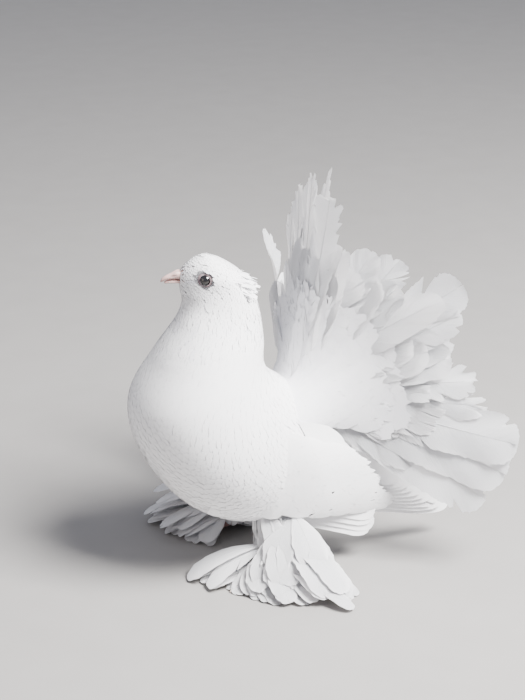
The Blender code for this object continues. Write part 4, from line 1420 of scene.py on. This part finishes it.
@dataclass(frozen=True)
class Mantle(Slope):
    """Small coverts from the shoulder over the folded wing, s from its lower edge up, r backwards."""

    label: str = "mantle"
    columns: int = 13
    rows: int = 15
    length: float = 20.0
    lift: float = 0.7
    tint: float = 0.06
    seed: int = 150
    front: tuple = ((-40, 56), (-24, 118))
    back: tuple = ((84, 38), (52, 88))
    sunk: float = -10.0
    proud: float = 4.4
    edge_drop: float = 5.0
    edge_power: float = 2.4

    @property
    def sign(self) -> int:
        """1 where s, r and the outward normal are right-handed, else -1."""
        return self.side.value

    def point(self, s: Array, r: Array) -> Array:
        """Points over the wing, sunk into the body in front and along both edges."""
        wing = Wing(self.side)
        low, high = (np.array(end, float) for end in self.front)
        start = low + (high - low) * np.asarray(s)[..., None]
        low, high = (np.array(end, float) for end in self.back)
        end = low + (high - low) * np.asarray(s)[..., None] + np.array([0.0, wing.lift[self.side]])
        spot = start + (end - start) * np.asarray(r)[..., None]
        layer = self.sunk + (self.proud - self.sunk) * smooth(np.asarray(r), 0.05, 0.7)
        edge = np.abs(2 * np.asarray(s) - 1) ** self.edge_power
        layer = layer - self.edge_drop * edge * (1 - 0.5 * np.asarray(r))
        x, z = spot[..., 0], spot[..., 1]
        return np.stack([x, self.side.value * (wing.sheet(x, z) + layer), z], -1)


@dataclass(frozen=True)
class Leg:
    """A leg with its toes and the long feathers that hide them."""

    side: Side
    hip: tuple[float, float, float] = (2, 20, 60)
    feet: dict = field(default_factory=lambda: {Side.LEFT: (-8, -34, 0), Side.RIGHT: (-8, 42, 0)})
    heels: dict = field(default_factory=lambda: {Side.LEFT: (8, -33, 30), Side.RIGHT: (6, 38, 30)})
    toes: tuple = ((180, 27), (148, 22), (212, 21), (8, 15))
    toe_radius: float = 2.5
    tiers: dict = field(default_factory=lambda: {
        Side.LEFT: ((46, 0.62, 16, 22, -35, 88, 9), (38, 0.74, 12, 22, -30, 95, 10),
                    (30, 0.84, 9, 21, -30, 100, 11), (22, 0.9, 6, 19, -28, 120, 12),
                    (22, 1.12, 3.0, 17, 176, 192, 2), (13, 0.95, 3.5, 16, -28, 150, 14),
                    (7, 1.0, 1.6, 13, -28, 198, 17)),
        Side.RIGHT: ((40, 0.55, 24, 17, -30, 140, 9), (30, 0.9, 20, 17, -5, 152, 10),
                     (20, 0.95, 9, 16, -20, 185, 13), (13, 0.92, 4.5, 14, -20, 225, 15),
                     (7, 0.9, 1.6, 13, -20, 232, 17)),
    })
    reaches: dict = field(default_factory=lambda: {
        Side.LEFT: ((-28, 28), (10, 46), (30, 64), (47, 85), (58, 80), (72, 56), (95, 40), (150, 26),
                    (198, 50)),
        Side.RIGHT: ((-20, 30), (10, 46), (30, 60), (47, 64), (62, 54), (85, 42), (115, 46), (142, 64),
                     (190, 36), (235, 34)),
    })

    def level(self, bearing: float) -> Array:
        """Level direction at a bearing from straight back, outwards."""
        turn = math.radians(bearing)
        return np.array([math.cos(turn), self.side.value * math.sin(turn), 0.0])

    def bare(self) -> bpy.types.Object:
        """Thigh, shank and toes."""
        batch = Batch(f"leg_skin_{self.side.word}")
        foot, heel = np.array(self.feet[self.side], float), np.array(self.heels[self.side], float)
        hip = np.array(self.hip, float) * (1, self.side.value, 1)
        bend = np.array([foot, heel, hip])
        t = np.linspace(0, 1, 24)[:, None]
        middle = bend[1] * 1.3 - 0.15 * (bend[0] + bend[2])
        path = (1 - t) ** 2 * bend[0] + 2 * t * (1 - t) * middle + t**2 * bend[2]
        path[:, 2] = np.maximum(path[:, 2], 2.6)
        radii = np.interp(t[:, 0], (0, 0.35, 0.55, 1), (2.9, 3.0, 4.2, 11))
        corner = np.array([0.5, 0.5])
        batch.tube(path, radii, corner, 0.4, 16)
        for number, (bearing, length) in enumerate(self.toes):
            way = self.level(bearing)
            steps = np.linspace(0, 1, 14)
            knuckle = 1 + 0.10 * np.cos(steps * 6 * np.pi)
            radius = self.toe_radius * (1 - 0.25 * steps) * knuckle
            start = foot + way * (length * steps)[:, None]
            start[:, 2] = self.toe_radius * (1 - 0.25 * steps) * 1.05
            batch.tube(start, radius, corner + 0.1 * number, 0.3, 12)
        return batch.mesh(TOE, soft=False)

    def muff(self) -> bpy.types.Object:
        """The long feathers, in tiers from the heel down to the toes."""
        rng = np.random.default_rng(90 + self.side.value)
        batch = Batch(f"muff_{self.side.word}")
        low, high = np.array(self.feet[self.side], float), np.array(self.heels[self.side], float)
        for tier, (root_z, share, tip_z, width, first, last, count) in enumerate(self.tiers[self.side]):
            for k in range(count):
                bearing = first + (last - first) * (k + rng.uniform(-0.25, 0.25)) / (count - 1)
                way = self.level(bearing)
                root = low + (high - low) * root_z / high[2] + way * 0.5
                reach = float(np.interp(bearing, *zip(*self.reaches[self.side])))
                reach = reach * share * rng.uniform(0.88, 1.0)
                tip = np.array([low[0], low[1], tip_z + rng.uniform(0, 1.5)]) + way * reach
                run = tip - root
                quill = Quill(float(np.linalg.norm(run)), width * rng.uniform(0.85, 1.1), Tip.ROUND,
                              bow=rng.uniform(0.06, 0.10), sway=rng.normal(0, 0.05), twist=rng.normal(0, 6),
                              camber=0.02, group=16.0, splits=0.15, ragged=0.03, wave=0.4, thickness=0.16,
                              shaft=0.25, row_step=3.0, softness=0.7,
                              tint=float(np.clip(rng.normal(0.14, 0.04), 0, 0.5)))
                bake = np.array([0.02 + 0.9 * k / count, 0.05 + 0.18 * tier])
                quill.build(batch, root, run, np.array([0, 0, 1.0]), bake, rng, 0.05)
        self.trousers(batch, rng)
        return batch.mesh(VANE)

    def trousers(self, batch: Batch, rng: np.random.Generator) -> None:
        """Adds the shorter feathers that hang round the thigh and shank."""
        heel = np.array(self.heels[self.side], float)
        hip = np.array(self.hip, float) * (1, self.side.value, 1)
        for root_z, reach, drop in ((54, 15, 28), (46, 16, 28), (38, 16, 26), (31, 15, 22)):
            share = (root_z - heel[2]) / (hip[2] - heel[2])
            centre = heel + (hip - heel) * share
            for bearing in np.linspace(-80, 245, 13):
                way = self.level(bearing + rng.uniform(-8, 8))
                tip = heel + way * reach * rng.uniform(0.85, 1.1)
                tip[2] = root_z - drop
                start = centre + way * 2.0
                quill = Quill(float(np.linalg.norm(tip - start)), 14.0, Tip.ROUND, bow=0.10, camber=0.02,
                              group=8.0, splits=0.3, ragged=0.04, wave=0.3, thickness=0.16, shaft=0.2,
                              row_step=3.0, softness=0.75)
                normal = way + np.array([0, 0, 0.6])
                quill.build(batch, start, tip - start, normal, np.array([0.4, 0.9]), rng, 0.05)

    def claws(self) -> list[bpy.types.Object]:
        """One curved claw at the end of each toe."""
        made = []
        foot = np.array(self.feet[self.side], float)
        for number, (bearing, length) in enumerate(self.toes, 1):
            way = self.level(bearing)
            t = np.linspace(0, 1, 16)
            radii = np.interp(t, (0, 0.35, 0.7, 1), (1.3, 1.1, 0.75, 0.25))
            path = foot + way * (length + 6.0 * t)[:, None]
            top = self.toe_radius * 0.75
            path[:, 2] = top + (radii + 0.1 - top) * t**2
            batch = Batch(f"claw_fine_{self.side.word}_{number}")
            batch.tube(path, radii, np.array([0.5, 0.5]), 0.3, 12)
            claw = batch.mesh(CLAW, soft=False)
            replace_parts(claw, f"claw_{self.side.word}_{number}")
            made.append(claw)
        return made

    def build(self) -> list[bpy.types.Object]:
        """Makes the whole leg."""
        muff = self.muff()
        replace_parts(muff, f"leg_{self.side.word}")
        return [self.bare(), muff, *self.claws()]


REGIONS = (
    Patch("coat_back", (0.2, 3.6), 3.8, 14.0, 9.0, 0.75, camber=0.03, softness=0.92, mark=0.04, seed=11),
    Patch("coat_breast", (3.4, 7.2), 3.6, 13.0, 8.5, 0.75, camber=0.03, softness=0.93, mark=0.04, seed=12),
    Patch("coat_neck", (6.8, 9.4), 1.9, 8.5, 3.4, 1.05, 0.13, 0.35, 0.08, 0.75, 0.14, 6, 3, 13),
    Patch("coat_head", (9.1, 14.0), 1.3, 4.0, 2.3, 0.85, 0.08, 0.10, 0.06, 0.88, 0.04, 5, 3, 14, 15.0),
)


@dataclass(frozen=True)
class Studio:
    """Floor, soft lights and the camera at the photograph's angle."""

    azimuth: float = -20.0
    elevation: float = 22.0
    distance: float = 1.28
    lens: float = 100.0
    target: tuple[float, float, float] = (8.8, 0.0, 148.3)

    def way(self, azimuth: float, elevation: float) -> Vector:
        """Direction from the bird towards a place round it, in degrees."""
        a, e = math.radians(azimuth), math.radians(elevation)
        return Vector((math.sin(a) * math.cos(e), -math.cos(a) * math.cos(e), math.sin(e)))

    def camera(self) -> None:
        """Sets the camera."""
        camera = bpy.data.objects.new("camera", bpy.data.cameras.new("camera"))
        bpy.context.scene.collection.objects.link(camera)
        way = self.way(self.azimuth, self.elevation)
        camera.location = Vector(FRAME.metres(np.array(self.target))) + way * self.distance
        camera.rotation_euler = (-way).to_track_quat("-Z", "Y").to_euler()
        camera.data.lens = self.lens
        bpy.context.scene.camera = camera

    def light(self, name: str, azimuth: float, elevation: float, distance: float, size: float, power: float,
              colour: tuple[float, float, float]) -> None:
        """Sets one square soft light that looks at the bird."""
        lamp = bpy.data.lights.new(name, "AREA")
        lamp.size, lamp.energy, lamp.color = size, power, colour
        made = bpy.data.objects.new(name, lamp)
        bpy.context.scene.collection.objects.link(made)
        way = self.way(azimuth, elevation)
        made.location = Vector(FRAME.metres(np.array(self.target))) + way * distance
        made.rotation_euler = (-way).to_track_quat("-Z", "Y").to_euler()

    def build(self) -> None:
        """Makes floor, lights, sky and camera."""
        size = 6.0
        corners = [(-size, -size, 0), (size, -size, 0), (size, size, 0), (-size, size, 0)]
        mesh = bpy.data.meshes.new("floor")
        mesh.from_pydata(corners, [], [(0, 1, 2, 3)])
        mesh.materials.append(Floor().material)
        floor = bpy.data.objects.new("floor", mesh)
        floor.location.z = -0.0002
        bpy.context.scene.collection.objects.link(floor)
        world = bpy.data.worlds.new("sky")
        world.use_nodes = True
        sky = world.node_tree.nodes["Background"]
        sky.inputs["Color"].default_value = (0.78, 0.82, 0.95, 1)
        sky.inputs["Strength"].default_value = 0.7
        bpy.context.scene.world = world
        self.light("key", 40, 52, 1.3, 0.6, 115, (1.0, 0.985, 0.97))
        self.light("fill", -80, 15, 1.5, 0.9, 4, (1.0, 0.86, 0.72))
        self.camera()


def main() -> None:
    """Builds the bird, then the studio."""
    logging.basicConfig(level=logging.INFO, format="%(message)s")
    BodySkin().build()
    for region in REGIONS:
        region.build()
    Crest().build()
    Vent().build()
    BillParts().build()
    for side in Side:
        eye = Eye(side)
        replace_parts(eye.ball(), f"eye_{side.word}")
        eye.lids()
        Fan(side).build()
        Rump(side).build()
        Wing(side).build()
        Mantle(side).build()
        Leg(side).build()
    Studio().build()


if __name__ == "__main__":
    main()
